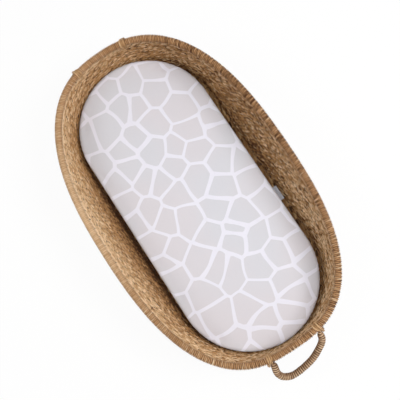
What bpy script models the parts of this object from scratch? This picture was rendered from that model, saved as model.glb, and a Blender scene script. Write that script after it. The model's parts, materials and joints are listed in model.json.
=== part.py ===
"""Changing basket: an oval woven basket with a wrapped rim, a rope handle that swings at
each end, and a mattress in a fitted sheet that lifts out.

Metres. +X runs to the foot end, +Y to the right-hand side and +Z up. The origin is on the
underside of the floor, at its middle.
"""

import math

import bmesh
import bpy
import numpy as np
from mathutils import Matrix, Vector

# Clearances
TOUCH_GAP = 0.0003
LAY_ROOM = 0.0007
LASHING_ROOM = 0.0012

# Mattress
MATTRESS_LENGTH = 0.735
MATTRESS_WIDTH = 0.322
MATTRESS_THICKNESS = 0.050
MATTRESS_ASIDE = -0.003
SHEET_THICKNESS = 0.0010
SHEET_TURN_UNDER = 0.050
COVER_THICKNESS = 0.0008
PAD_TOP_CORNER = 0.010
PAD_BOTTOM_CORNER = 0.008
PAD_CROWN = 0.003
COVER_SLIT_WIDTH = 0.200
COVER_SLIT_HEIGHT = 0.003
ELASTIC_WIDTH = 0.006

# Side label
LABEL_LENGTH = 0.035
LABEL_REACH = 0.012
LABEL_THICKNESS = 0.0008
LABEL_EDGE = 0.0003
LABEL_ALONG = 0.088
LABEL_BELOW_TOP = 0.020

# Floor and wall
FLOOR_THICKNESS = 0.012
FLOOR_EDGE = 0.004
FLOOR_EDGE_SHARE = 0.5
WALL_THICKNESS = 0.007
END_ROOM = 0.0040
SIDE_ROOM = 0.011
WALL_BULGE_SHARE = 0.6
WALL_TRIM_SHARE = 0.04
WEAVE_ROWS = 13
WEAVE_GROOVE = 0.0018
WEAVE_COVERED_ROWS = 4

# Rim
END_FLARE = 0.0035
SIDE_FLARE = 0.0417
HEAD_RISE = 0.093
SIDE_RISE = 0.128
FOOT_RISE = 0.073
HEAD_SQUARENESS = 2.43
FOOT_SQUARENESS = 2.71
RIM_RADIUS = 0.0095
HOOP_RADIUS = 0.004
SLIT_ROOM = 0.0005

# Handles
HANDLE_HALF_SPAN = 0.0585
HANDLE_ASIDE = 0.0035
HANDLE_DEPTH = 0.054
CORE_RADIUS = 0.0045
BAND_THICKNESS = 0.0026
BAND_GAP = 0.0009
NECK_LENGTH = 0.018
BEND_RADIUS = 0.005
STUB_LENGTH = 0.0105
PIVOT_ROOM = 0.003
PIVOT_SLOPE_DEG = 50.0
FOOT_HANDLE_DROOP_DEG = 25.0
HEAD_HANDLE_DROOP_DEG = 80.0
# The loop's route, from its left leg to its right one, as shares of the half span and the depth.
LOOP_ACROSS_SHARES = (-1.0, -1.03, -1.07, -1.04, -0.93, -0.66, -0.21, 0.32, 0.77, 0.93, 0.99, 1.0)
LOOP_DEPTH_SHARES = (0.092, 0.27, 0.49, 0.68, 0.85, 1.0, 0.985, 0.85, 0.57, 0.41, 0.25, 0.092)

# Lashings
STRAND_RADIUS = 0.0012
STRAND_PITCH = 0.0030
LASHING_TURNS = 3
LASHING_LEAN = 0.006
WINDOW_ROOM = 0.0012

# Counts
AROUND = 48
BEND_SHARE = 0.5
CORE_SIDES = 8
RIM_OUTER_STEPS = 9
RIM_INNER_STEPS = 5
PAD_AROUND = 36
CORNER_STEPS = 3
CROWN_RINGS = 3
CROWN_MIDDLE_SHARE = 0.12
HANDLE_TURNS = 24
POINTS_PER_TURN = 8
ROUTE_STEPS = 5
BEND_STEPS = 3
RIM_ARC_STEPS = 7
STUB_ARC_STEPS = 5
FINE_STEPS = 4096

# A flattened six-sided section for a wound band: shares along the rope, and out from it.
BAND_ALONG_SHARES = (-0.5, -0.32, 0.32, 0.5, 0.32, -0.32)
BAND_OUT_SHARES = (0.0, 0.5, 0.5, 0.0, -0.5, -0.5)

# Sizes that follow
MATTRESS_LOW = FLOOR_THICKNESS + TOUCH_GAP
MATTRESS_HIGH = FLOOR_THICKNESS + MATTRESS_THICKNESS
PAD_RADIUS = MATTRESS_WIDTH / 2
PAD_HALF_STRAIGHT = MATTRESS_LENGTH / 2 - PAD_RADIUS
HEEL_RADIUS_SIDE = PAD_RADIUS + SIDE_ROOM + WALL_THICKNESS / 2
HEEL_RADIUS_END = PAD_RADIUS + END_ROOM + WALL_THICKNESS / 2
RIM_HALF_LENGTH = PAD_HALF_STRAIGHT + HEEL_RADIUS_END + END_FLARE
RIM_HALF_WIDTH = HEEL_RADIUS_SIDE + SIDE_FLARE
PIVOT_DISTANCE = RIM_RADIUS + CORE_RADIUS + PIVOT_ROOM
PIVOT_OUT = PIVOT_DISTANCE * math.cos(math.radians(PIVOT_SLOPE_DEG))
PIVOT_DOWN = PIVOT_DISTANCE * math.sin(math.radians(PIVOT_SLOPE_DEG))
BAND_INNER = (CORE_RADIUS + TOUCH_GAP) / math.cos(math.pi / POINTS_PER_TURN)
ROPE_RADIUS = BAND_INNER + BAND_THICKNESS
LASHING_WIDTH = (LASHING_TURNS - 1) * STRAND_PITCH + 2 * STRAND_RADIUS
LASHING_START = HANDLE_HALF_SPAN + BEND_RADIUS + STRAND_RADIUS

FOOT, HEAD = 1, -1


def clear_scene():
    """Removes the objects that the scene starts with."""
    for obj in list(bpy.data.objects):
        bpy.data.objects.remove(obj)


def new_collection(name):
    collection = bpy.data.collections.new(name)
    bpy.context.scene.collection.children.link(collection)
    return collection


def material(name, colour, roughness, metallic=0.0):
    """A plain Principled material."""
    made = bpy.data.materials.new(name)
    made.use_nodes = True
    shader = made.node_tree.nodes["Principled BSDF"]
    shader.inputs["Base Color"].default_value = (*colour, 1.0)
    shader.inputs["Roughness"].default_value = roughness
    shader.inputs["Metallic"].default_value = metallic
    return made


def add_object(name, data, collection, surface=None, smooth_deg=40.0):
    """Links a new object with its material, shaded smooth up to an angle."""
    obj = bpy.data.objects.new(name, data)
    collection.objects.link(obj)
    if surface is not None:
        data.materials.append(surface)
    if isinstance(data, bpy.types.Mesh):
        data.shade_smooth()
        data.set_sharp_from_angle(angle=math.radians(smooth_deg))
    return obj


def mesh_from(bm, name):
    """Turns a bmesh into a mesh with its faces pointing out."""
    bmesh.ops.recalc_face_normals(bm, faces=bm.faces)
    mesh = bpy.data.meshes.new(name)
    bm.to_mesh(mesh)
    bm.free()
    return mesh


def lofted(name, rings, path_closed=False, capped=True):
    """Joins closed rings of points into a surface, with flat caps at the ends of an open path."""
    bm = bmesh.new()
    rows = [[bm.verts.new(point) for point in ring] for ring in rings]
    count = len(rows[0])
    for index in range(len(rows) if path_closed else len(rows) - 1):
        row, other = rows[index], rows[(index + 1) % len(rows)]
        for step in range(count):
            after = (step + 1) % count
            bm.faces.new((row[step], row[after], other[after], other[step]))
    if capped and not path_closed:
        bm.faces.new(rows[0])
        bm.faces.new(rows[-1])
    return mesh_from(bm, name)


def add_tube(name, route, radius, collection, surface, ring=False, sides=6):
    """A round rod along the route, with flat caps unless it closes on itself."""
    curve = bpy.data.curves.new(name, "CURVE")
    curve.dimensions = "3D"
    curve.bevel_depth = radius
    curve.bevel_resolution = sides // 2 - 2
    curve.use_fill_caps = not ring
    spline = curve.splines.new("POLY")
    spline.points.add(len(route) - 1)
    spline.use_cyclic_u = ring
    for point, place in zip(spline.points, route):
        point.co = (*place, 1.0)
    return add_object(name, curve, collection, surface)


def cut(obj, cutter):
    """Takes the cutter's shape out of the object."""
    modifier = obj.modifiers.new("cut_" + cutter.name, "BOOLEAN")
    modifier.operation = "DIFFERENCE"
    modifier.solver = "EXACT"
    modifier.object = cutter


def add_cutter(name, mesh, collection):
    obj = add_object(name, mesh, collection)
    obj.hide_render = True
    obj.display_type = "WIRE"
    return obj


def box_mesh(name, low, high):
    """An upright box between two corners."""
    bm = bmesh.new()
    bmesh.ops.create_cube(bm, size=1.0)
    size = Vector(high) - Vector(low)
    bmesh.ops.scale(bm, vec=size, verts=bm.verts)
    bmesh.ops.translate(bm, vec=(Vector(low) + Vector(high)) / 2, verts=bm.verts)
    return mesh_from(bm, name)


# The basket's outlines, as the reach from the middle in each direction


def heel_reach(angle):
    """Reach of the wall's middle where it stands on the floor: a long oval with round ends."""
    along, across = abs(math.cos(angle)), abs(math.sin(angle))
    half_length = PAD_HALF_STRAIGHT + HEEL_RADIUS_END
    straight = half_length - HEEL_RADIUS_SIDE
    if along * HEEL_RADIUS_SIDE <= across * straight:
        return HEEL_RADIUS_SIDE / across
    return straight * along + math.sqrt(HEEL_RADIUS_SIDE**2 - (straight * across) ** 2)


def rim_reach(angle):
    """Reach of the rim's middle: an oval that is a little squarer at the foot."""
    power = FOOT_SQUARENESS if math.cos(angle) > 0 else HEAD_SQUARENESS
    along = abs(math.cos(angle)) / RIM_HALF_LENGTH
    across = abs(math.sin(angle)) / RIM_HALF_WIDTH
    return (along**power + across**power) ** (-1 / power)


def rim_height(along):
    """Height of the rim's middle: highest at the sides, and lower to each end."""
    end_rise = FOOT_RISE if along > 0 else HEAD_RISE
    share = (along / RIM_HALF_LENGTH) ** 2
    return MATTRESS_HIGH + SIDE_RISE + (end_rise - SIDE_RISE) * share


def bulged(share):
    """How far the wall has leaned out at a share of its height: fast at first, then slower."""
    return (1 - WALL_BULGE_SHARE) * share + WALL_BULGE_SHARE * (1 - (1 - share) ** 2)


def wall_point(angle, share):
    """A point of the wall's middle surface, from its heel, 0, to the rim's middle, 1."""
    heel, rim = heel_reach(angle), rim_reach(angle)
    reach = heel + (rim - heel) * bulged(share)
    low = FLOOR_THICKNESS + TOUCH_GAP
    high = rim_height(rim * math.cos(angle))
    return Vector((reach * math.cos(angle), reach * math.sin(angle), low + (high - low) * share))


def wall_top_share(angle):
    """The share of its height at which the wall ends, just under the hoop."""
    high = rim_height(rim_reach(angle) * math.cos(angle))
    return 1 - (HOOP_RADIUS + LAY_ROOM) / (high - FLOOR_THICKNESS - TOUCH_GAP)


def shared_angles():
    """Directions that every piece of the basket shares, closer together where the rim bends more."""
    fine = np.linspace(0.0, 2 * math.pi, FINE_STEPS + 1)
    points = np.array([wall_point(angle, 1.0) for angle in fine])
    steps = np.diff(points, axis=0)
    run = np.concatenate([[0.0], np.cumsum(np.linalg.norm(steps, axis=1))])
    heading = np.unwrap(np.arctan2(steps[:, 1], steps[:, 0]))
    turned = np.concatenate([[0.0], heading - heading[0]])
    spread = (1 - BEND_SHARE) * run / run[-1] + BEND_SHARE * turned / turned[-1]
    return np.interp(np.arange(AROUND) / AROUND, spread, fine)


def rim_frames(angles):
    """At each direction: the rim's middle, the way out and the way up along the wall."""
    centres = [wall_point(angle, 1.0) for angle in angles]
    frames = []
    for index, angle in enumerate(angles):
        tangent = (centres[(index + 1) % len(centres)] - centres[index - 1]).normalized()
        rise = centres[index] - wall_point(angle, wall_top_share(angle))
        rise = (rise - rise.dot(tangent) * tangent).normalized()
        frames.append((centres[index], tangent.cross(rise), rise))
    return frames


# Basket


def make_floor(collection, surface, angles):
    """The flat woven floor, out to the wall's outer face, with a rounded lower edge."""
    bm = bmesh.new()
    outline = []
    for angle in angles:
        reach = heel_reach(angle) + WALL_THICKNESS / 2
        outline.append(bm.verts.new((reach * math.cos(angle), reach * math.sin(angle), 0.0)))
    low = bm.faces.new(outline)
    raised = bmesh.ops.extrude_face_region(bm, geom=[low])["geom"]
    top = [item for item in raised if isinstance(item, bmesh.types.BMVert)]
    bmesh.ops.translate(bm, vec=(0.0, 0.0, FLOOR_THICKNESS), verts=top)
    lower_edge = [edge for edge in bm.edges if all(vert.co.z == 0.0 for vert in edge.verts)]
    bmesh.ops.bevel(bm, geom=lower_edge, offset=FLOOR_EDGE, segments=2, profile=FLOOR_EDGE_SHARE, affect="EDGES")
    return add_object("base_floor", mesh_from(bm, "base_floor"), collection, surface)


def wall_out(angles, index, share):
    """The way out of the wall at a level."""
    angle = angles[index]
    along = wall_point(angles[(index + 1) % len(angles)], share) - wall_point(angles[index - 1], share)
    rise = wall_point(angle, share + WALL_TRIM_SHARE) - wall_point(angle, share - WALL_TRIM_SHARE)
    return along.cross(rise).normalized()


def wall_section(angles, index):
    """A section of the wall: up its outside over the woven rows, and down its inside."""
    angle = angles[index]
    top = wall_top_share(angle)
    outside, inside = [], []
    last = 2 * WEAVE_ROWS
    for step in range(last + 1):
        share = top * step / last if step else -WALL_TRIM_SHARE
        grooved = step % 2 == 0 and 0 < step < last
        half = WALL_THICKNESS / 2 - (WEAVE_GROOVE if grooved else 0.0)
        middle, out = wall_point(angle, share), wall_out(angles, index, share)
        outside.append(middle + half * out)
        # Behind the mattress the inside is plain.
        if step == 0 or step >= 2 * WEAVE_COVERED_ROWS:
            inside.append(middle - half * out)
    return [*outside, *reversed(inside)]


def make_wall(collection, cutters, surface, angles):
    """The wall in its woven rows, cut level at the floor, up to just under the rim's hoop."""
    rows = [wall_section(angles, index) for index in range(len(angles))]
    mesh = lofted("woven_wall", rows, path_closed=True)
    wall = add_object("woven_wall", mesh, collection, surface)
    # Flat faces, so that every cut closes.
    wall.modifiers.new("flat_faces", "TRIANGULATE")
    low = (-RIM_HALF_LENGTH, -RIM_HALF_WIDTH, -FLOOR_THICKNESS)
    high = (RIM_HALF_LENGTH, RIM_HALF_WIDTH, FLOOR_THICKNESS + TOUCH_GAP)
    cut(wall, add_cutter("wall_trim", box_mesh("wall_trim", low, high), cutters))
    return wall


def make_rim_hoop(collection, surface, frames):
    """The stiff cane hoop inside the rim."""
    return add_tube("rim_hoop", [centre for centre, _, _ in frames], HOOP_RADIUS, collection, surface, True)


def make_rim_wrap(collection, surface, frames):
    """The rim's wrapping: a tube round the hoop, slit underneath where the wall enters."""
    half_slit = WALL_THICKNESS / 2 + SLIT_ROOM
    outer_from = math.asin(half_slit / RIM_RADIUS)
    # The hollow is wide enough for its flats, too, to clear the hoop.
    inner = (HOOP_RADIUS + LAY_ROOM) / math.cos(math.pi / (RIM_INNER_STEPS + 2))
    inner_from = math.asin(min(half_slit / inner, 1.0))
    outer_turns = np.linspace(outer_from, 2 * math.pi - outer_from, RIM_OUTER_STEPS + 1)
    inner_turns = np.linspace(2 * math.pi - inner_from, inner_from, RIM_INNER_STEPS + 1)
    ring = [(RIM_RADIUS, turn) for turn in outer_turns] + [(inner, turn) for turn in inner_turns]
    rows = []
    for centre, out, up in frames:
        rows.append([centre + r * (math.sin(turn) * out - math.cos(turn) * up) for r, turn in ring])
    mesh = lofted("rim_wrap", rows, path_closed=True)
    return add_object("rim_wrap", mesh, collection, surface)


# Handles


def rim_at(across, end, angles):
    """The built rim's middle, at a distance across the basket, at the foot or the head."""
    centres = np.array([wall_point(angle, 1.0) for angle in angles])
    centres = centres[centres[:, 0] * end > 0]
    centres = centres[np.argsort(centres[:, 1])]
    along = np.interp(across, centres[:, 1], centres[:, 0])
    height = np.interp(across, centres[:, 1], centres[:, 2])
    return Vector((along, across, height))


def pivot_at(end, angles):
    """The middle of a handle's joint axis, outside and below the rim at its legs."""
    rim = rim_at(HANDLE_HALF_SPAN, end, angles)
    return Vector((rim.x + end * PIVOT_OUT, 0.0, rim.z - PIVOT_DOWN))


def smooth_through(points, steps):
    """A smooth curve through the points, with this many steps in each stretch."""
    padded = [2 * points[0] - points[1], *points, 2 * points[-1] - points[-2]]
    made = []
    for index in range(1, len(padded) - 2):
        before, start, stop, after = padded[index - 1 : index + 3]
        for step in range(steps):
            t = step / steps
            bend = before - 5 * start / 2 + 2 * stop - after / 2
            twist = (after - before) / 2 + 3 * (start - stop) / 2
            made.append(start + t * (stop - before) / 2 + t**2 * bend + t**3 * twist)
    return [*made, points[-1]]


def loop_route():
    """The middle of a handle's rope between its two bends: depth along X, across along Y."""
    pairs = zip(LOOP_ACROSS_SHARES, LOOP_DEPTH_SHARES)
    points = []
    for side, deep in pairs:
        across = HANDLE_ASIDE + side * HANDLE_HALF_SPAN
        points.append(Vector((deep * HANDLE_DEPTH, across, 0.0)))
    return smooth_through(points, ROUTE_STEPS)


def bend_route(side):
    """A bend from the joint axis into the leg, and the stub before it, from the outer end in."""
    outer = HANDLE_HALF_SPAN + BEND_RADIUS
    points = [Vector((0.0, HANDLE_ASIDE + side * (outer + STUB_LENGTH), 0.0))]
    for step in range(BEND_STEPS):
        turn = math.pi / 2 * step / BEND_STEPS
        depth = BEND_RADIUS * (1 - math.cos(turn))
        across = HANDLE_ASIDE + side * (outer - BEND_RADIUS * math.sin(turn))
        points.append(Vector((depth, across, 0.0)))
    return points


def make_core(name, collection, surface):
    """The rope's core: one rod, with its bent ends on the joint axis."""
    thinned = loop_route()[:: ROUTE_STEPS // 2]
    route = [*bend_route(-1), *thinned, *reversed(bend_route(1))]
    return add_tube(name, route, CORE_RADIUS, collection, surface, sides=CORE_SIDES)


def along_route(route, spacing_run, distance):
    """The place and the heading of the route at a distance along it."""
    place = Vector([np.interp(distance, spacing_run, [p[i] for p in route]) for i in range(3)])
    reach = BEND_RADIUS / 2
    ends = []
    for shifted in (distance - reach, distance + reach):
        ends.append(Vector([np.interp(shifted, spacing_run, [p[i] for p in route]) for i in range(3)]))
    return place, (ends[1] - ends[0]).normalized()


def winding_rows(route):
    """Sections of one flat band, wound round the rope from neck to neck."""
    steps = [(b - a).length for a, b in zip(route, route[1:])]
    run = np.concatenate([[0.0], np.cumsum(steps)])
    first = NECK_LENGTH - LOOP_DEPTH_SHARES[0] * HANDLE_DEPTH
    wound = run[-1] - 2 * first
    pitch = wound / HANDLE_TURNS
    radius = BAND_INNER + BAND_THICKNESS / 2
    normal = Vector((0.0, 0.0, 1.0))

    def ring_point(distance, turn):
        place, heading = along_route(route, run, distance)
        return place + radius * (math.cos(turn) * heading.cross(normal) + math.sin(turn) * normal)

    rows = []
    for step in range(HANDLE_TURNS * POINTS_PER_TURN + 1):
        distance = first + wound * step / (HANDLE_TURNS * POINTS_PER_TURN)
        turn = 2 * math.pi * step / POINTS_PER_TURN
        place, heading = along_route(route, run, distance)
        out = math.cos(turn) * heading.cross(normal) + math.sin(turn) * normal
        # Inside a bend the turns crowd together, so the band is narrower there.
        span = ring_point(distance + pitch / 2, turn) - ring_point(distance - pitch / 2, turn)
        width = span.length - BAND_GAP
        row = []
        for along, outward in zip(BAND_ALONG_SHARES, BAND_OUT_SHARES):
            middle = place + radius * out
            row.append(middle + along * width * heading + outward * BAND_THICKNESS * out)
        rows.append(row)
    return rows


def least_gap(rows, skip):
    """The least distance between points of turns that lie beside each other, in metres."""
    points = np.array([[tuple(point) for point in row] for row in rows])
    least = math.inf
    for index in range(len(points) - skip):
        near = points[index + skip : index + skip + skip // 2]
        apart = np.linalg.norm(near[:, :, None, :] - points[index][None, None, :, :], axis=-1)
        least = min(least, float(apart.min()))
    return least


def make_winding(name, collection, surface):
    rows = winding_rows(loop_route())
    print(f"{name}: least gap between turns {least_gap(rows, POINTS_PER_TURN - 1) * 1000:.2f} mm")
    return add_object(name, lofted(name, rows), collection, surface)


def make_handle(end, droop_deg, collection, surfaces, angles):
    """A handle on its own pivot: an empty on the joint axis carries the core and the winding."""
    prefix = "foot" if end == FOOT else "head"
    pivot = bpy.data.objects.new(prefix + "_handle_pivot", None)
    collection.objects.link(pivot)
    pivot.location = pivot_at(end, angles)
    facing = 0.0 if end == FOOT else math.pi
    turned = Matrix.Rotation(facing, 4, "Z") @ Matrix.Rotation(math.radians(droop_deg), 4, "Y")
    pivot.rotation_euler = turned.to_euler()
    core = make_core(prefix + "_handle_core", collection, surfaces["core"])
    winding = make_winding(prefix + "_handle_wrap", collection, surfaces["wrap"])
    for piece in (core, winding):
        piece.parent = pivot
    print(f"{prefix} handle axis at {[round(value, 5) for value in pivot.location]}")
    return core, winding


# Lashings


def belt_points(first, first_radius, second, second_radius):
    """One turn round two circles in the XZ plane, tight between them, as places in the plane."""
    apart = second - first
    heading = math.atan2(apart.z, apart.x)
    half = math.acos((first_radius - second_radius) / apart.length)
    places = []
    for step in range(RIM_ARC_STEPS + 1):
        turn = heading + half + (2 * math.pi - 2 * half) * step / RIM_ARC_STEPS
        places.append(first + first_radius * Vector((math.cos(turn), 0.0, math.sin(turn))))
    for step in range(STUB_ARC_STEPS + 1):
        turn = heading - half + 2 * half * step / STUB_ARC_STEPS
        places.append(second + second_radius * Vector((math.cos(turn), 0.0, math.sin(turn))))
    return places


def lashing_route(end, side, angles):
    """The strand's middle: turns round the rim and the handle's stub, each beside the last."""
    pivot = pivot_at(end, angles)
    rim_radius = RIM_RADIUS + LASHING_ROOM + STRAND_RADIUS
    stub_radius = CORE_RADIUS + LAY_ROOM + STRAND_RADIUS
    per_turn = RIM_ARC_STEPS + STUB_ARC_STEPS + 2
    route = []
    for step in range(LASHING_TURNS * per_turn + 1):
        # The strand leans in towards the handle's leg where it crosses the rim.
        lean = LASHING_LEAN if step % per_turn <= RIM_ARC_STEPS else 0.0
        across = end * HANDLE_ASIDE + side * (LASHING_START - lean + STRAND_PITCH * step / per_turn)
        rim = rim_at(across, end, angles)
        stub = Vector((pivot.x, across, pivot.z))
        # The rim slants a little to the axis, so each place is taken on its own slice.
        rim.y = stub.y = 0.0
        mirrored = Matrix.Scale(end, 4, Vector((1.0, 0.0, 0.0)))
        places = belt_points(mirrored @ rim, rim_radius, mirrored @ stub, stub_radius)
        place = mirrored @ places[step % per_turn]
        route.append(Vector((place.x, across, place.z)))
    return route


def make_lashing(name, end, side, collection, surface, angles):
    """One unbroken strand, wound round the rim and the handle's stub."""
    route = lashing_route(end, side, angles)
    per_turn = RIM_ARC_STEPS + STUB_ARC_STEPS + 2
    gap = least_gap([[place] for place in route], per_turn - 2) - 2 * STRAND_RADIUS
    print(f"{name}: least gap between turns {gap * 1000:.2f} mm")
    return add_tube(name, route, STRAND_RADIUS, collection, surface)


def cut_window(wall, end, side, cutters, angles):
    """The gap in the weave, under the rim, that a lashing passes through."""
    half_width = (LASHING_WIDTH + STRAND_PITCH + LASHING_LEAN) / 2 + WINDOW_ROOM
    nearest = LASHING_START - LASHING_LEAN - STRAND_RADIUS - WINDOW_ROOM
    middle = end * HANDLE_ASIDE + side * (nearest + half_width)
    rim = rim_at(middle, end, angles)
    pivot = pivot_at(end, angles)
    low_z = pivot.z - CORE_RADIUS - LAY_ROOM - 2 * STRAND_RADIUS - WINDOW_ROOM
    high_z = rim.z - RIM_RADIUS + WINDOW_ROOM
    reach = 2 * WALL_THICKNESS + half_width
    low = (rim.x - reach, middle - half_width, low_z)
    high = (rim.x + reach, middle + half_width, high_z)
    name = f"window_{'foot' if end == FOOT else 'head'}_{'right' if side > 0 else 'left'}"
    cut(wall, add_cutter(name, box_mesh(name, low, high), cutters))


# Mattress


def stadium(radius, height):
    """A level ring with round ends, this far out from the mattress's middle line."""
    half_count = PAD_AROUND // 2
    ring = []
    for end in (1, -1):
        for step in range(half_count):
            turn = math.pi * (step / (half_count - 1) - 1 / 2)
            along = end * (PAD_HALF_STRAIGHT + radius * math.cos(turn))
            across = MATTRESS_ASIDE + end * radius * math.sin(turn)
            ring.append(Vector((along, across, height)))
    return ring


def pad_mesh(name, inset, crown):
    """A closed pad with rounded edges and a crown, this far inside the mattress's outside."""
    radius = PAD_RADIUS - inset
    low, high = MATTRESS_LOW + inset, MATTRESS_HIGH - inset
    bottom_corner, top_corner = PAD_BOTTOM_CORNER - inset, PAD_TOP_CORNER - inset
    rings = []
    for step in range(CORNER_STEPS + 1):
        turn = math.pi / 2 * step / CORNER_STEPS
        out = radius - bottom_corner * (1 - math.sin(turn))
        rings.append(stadium(out, low + bottom_corner * (1 - math.cos(turn))))
    for step in range(CORNER_STEPS + 1):
        turn = math.pi / 2 * step / CORNER_STEPS
        out = radius - top_corner * (1 - math.cos(turn))
        rings.append(stadium(out, high - top_corner * (1 - math.sin(turn))))
    flat = radius - top_corner
    for ring in range(1, CROWN_RINGS + 1):
        share = ring / CROWN_RINGS * (1 - CROWN_MIDDLE_SHARE)
        rings.append(stadium(flat * (1 - share), high + crown * math.sin(math.pi / 2 * share)))
    return lofted(name, rings)


def make_foam(collection, surface):
    """The foam that the mattress is made of."""
    inset = SHEET_THICKNESS + COVER_THICKNESS + 2 * TOUCH_GAP
    return add_object("foam_core", pad_mesh("foam_core", inset, PAD_CROWN), collection, surface)


def make_cover(collection, cutters, surface):
    """The wipe-clean cover round the foam, open along a slit at its foot end."""
    inset = SHEET_THICKNESS + TOUCH_GAP
    mesh = pad_mesh("foam_cover", inset, PAD_CROWN)
    cover = add_object("foam_cover", mesh, collection, surface)
    hollow = pad_mesh("cover_hollow", inset + COVER_THICKNESS, PAD_CROWN)
    cut(cover, add_cutter("cover_hollow", hollow, cutters))
    outside = PAD_HALF_STRAIGHT + PAD_RADIUS
    middle = (MATTRESS_LOW + MATTRESS_HIGH) / 2
    right, left = MATTRESS_ASIDE - COVER_SLIT_WIDTH / 2, MATTRESS_ASIDE + COVER_SLIT_WIDTH / 2
    low = (outside - PAD_RADIUS / 2, right, middle - COVER_SLIT_HEIGHT / 2)
    high = (outside + PAD_TOP_CORNER, left, middle + COVER_SLIT_HEIGHT / 2)
    cut(cover, add_cutter("cover_slit", box_mesh("cover_slit", low, high), cutters))
    return cover


def make_sheet(collection, cutters, surface):
    """The fitted sheet: over the top, down the sides and a little way under."""
    sheet = add_object("fitted_sheet", pad_mesh("fitted_sheet", 0.0, PAD_CROWN), collection, surface)
    hollow = pad_mesh("sheet_hollow", SHEET_THICKNESS, PAD_CROWN)
    cut(sheet, add_cutter("sheet_hollow", hollow, cutters))
    opening = PAD_RADIUS - SHEET_TURN_UNDER
    rings = [stadium(opening, height) for height in (MATTRESS_LOW / 2, MATTRESS_LOW + PAD_BOTTOM_CORNER)]
    mesh = lofted("sheet_opening", rings)
    cut(sheet, add_cutter("sheet_opening", mesh, cutters))
    return sheet


def make_elastic(collection, surface):
    """The flat elastic along the sheet's lower edge, level with it."""
    outer = PAD_RADIUS - SHEET_TURN_UNDER - TOUCH_GAP
    low, high = MATTRESS_LOW, MATTRESS_LOW + SHEET_THICKNESS
    corners = [(outer, low), (outer, high), (outer - ELASTIC_WIDTH, high), (outer - ELASTIC_WIDTH, low)]
    rings = [stadium(out, height) for out, height in corners]
    rows = [[ring[index] for ring in rings] for index in range(PAD_AROUND)]
    mesh = lofted("sheet_elastic", rows, path_closed=True)
    return add_object("sheet_elastic", mesh, collection, surface)


def make_label(collection, surface):
    """The bare tag that stands out of the mattress's right-hand side."""
    inner = MATTRESS_ASIDE + PAD_RADIUS + TOUCH_GAP
    height = MATTRESS_HIGH - LABEL_BELOW_TOP
    low = (LABEL_ALONG - LABEL_LENGTH / 2, inner, height - LABEL_THICKNESS / 2)
    high = (LABEL_ALONG + LABEL_LENGTH / 2, inner + LABEL_REACH, height + LABEL_THICKNESS / 2)
    label = add_object("side_label", box_mesh("side_label", low, high), collection, surface)
    edge = label.modifiers.new("edge", "BEVEL")
    edge.width = LABEL_EDGE
    edge.segments = 1
    return label


def main():
    clear_scene()
    parts = new_collection("changing_basket")
    cutters = new_collection("cutters")
    seagrass = material("seagrass", (0.42, 0.26, 0.12), 0.75)
    floor_weave = material("floor_weave", (0.36, 0.22, 0.10), 0.8)
    rim_seagrass = material("rim_seagrass", (0.46, 0.28, 0.14), 0.7)
    cane = material("cane", (0.55, 0.40, 0.22), 0.6)
    rope = material("rope_core", (0.50, 0.36, 0.20), 0.8)
    rope_wrap = material("rope_wrap", (0.40, 0.24, 0.13), 0.7)
    lashing = material("lashing", (0.58, 0.38, 0.20), 0.7)
    foam = material("foam", (0.90, 0.88, 0.78), 0.9)
    cover = material("wipe_clean_cover", (0.92, 0.92, 0.93), 0.45)
    cotton = material("printed_cotton", (0.72, 0.70, 0.73), 0.85)
    elastic = material("elastic", (0.85, 0.85, 0.86), 0.8)
    tag = material("label_tape", (0.35, 0.38, 0.45), 0.6)

    angles = shared_angles()
    frames = rim_frames(angles)
    make_floor(parts, floor_weave, angles)
    wall = make_wall(parts, cutters, seagrass, angles)
    make_rim_hoop(parts, cane, frames)
    make_rim_wrap(parts, rim_seagrass, frames)
    rope_surfaces = {"core": rope, "wrap": rope_wrap}
    make_handle(FOOT, FOOT_HANDLE_DROOP_DEG, parts, rope_surfaces, angles)
    make_handle(HEAD, HEAD_HANDLE_DROOP_DEG, parts, rope_surfaces, angles)
    for end, end_name in ((FOOT, "foot"), (HEAD, "head")):
        for side, side_name in ((-1, "left"), (1, "right")):
            name = f"{end_name}_lashing_{side_name}"
            make_lashing(name, end, side, parts, lashing, angles)
            cut_window(wall, end, side, cutters, angles)
    make_foam(parts, foam)
    make_cover(parts, cutters, cover)
    make_sheet(parts, cutters, cotton)
    make_elastic(parts, elastic)
    make_label(parts, tag)


main()
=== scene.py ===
"""Dresses the changing basket: twined seagrass walls, a wound rim, two rope handles in their
lashings, and a mattress in a printed fitted sheet. Metres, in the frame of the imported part.
"""

import json
import logging
import math
from dataclasses import dataclass
from enum import Enum

import bmesh
import bpy
import numpy as np
from mathutils import Matrix, Vector


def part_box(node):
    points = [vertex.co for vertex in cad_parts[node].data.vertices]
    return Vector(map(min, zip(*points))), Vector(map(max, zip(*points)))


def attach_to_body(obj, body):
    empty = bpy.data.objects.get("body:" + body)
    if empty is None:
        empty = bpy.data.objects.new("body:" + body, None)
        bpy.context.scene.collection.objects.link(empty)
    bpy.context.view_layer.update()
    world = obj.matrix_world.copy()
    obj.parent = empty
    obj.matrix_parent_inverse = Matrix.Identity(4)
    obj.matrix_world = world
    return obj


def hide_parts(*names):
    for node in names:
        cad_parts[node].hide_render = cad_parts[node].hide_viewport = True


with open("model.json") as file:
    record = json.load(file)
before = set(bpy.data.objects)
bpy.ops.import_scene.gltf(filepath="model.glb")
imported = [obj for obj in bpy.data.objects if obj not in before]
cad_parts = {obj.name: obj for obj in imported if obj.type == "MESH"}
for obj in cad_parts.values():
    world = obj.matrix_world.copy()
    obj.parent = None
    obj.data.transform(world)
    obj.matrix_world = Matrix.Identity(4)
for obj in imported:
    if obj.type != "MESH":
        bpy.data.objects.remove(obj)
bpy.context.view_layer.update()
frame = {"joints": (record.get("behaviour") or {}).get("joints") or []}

LOG = logging.getLogger("changing_basket")
BAKE_MAP = "OFBake"
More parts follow.
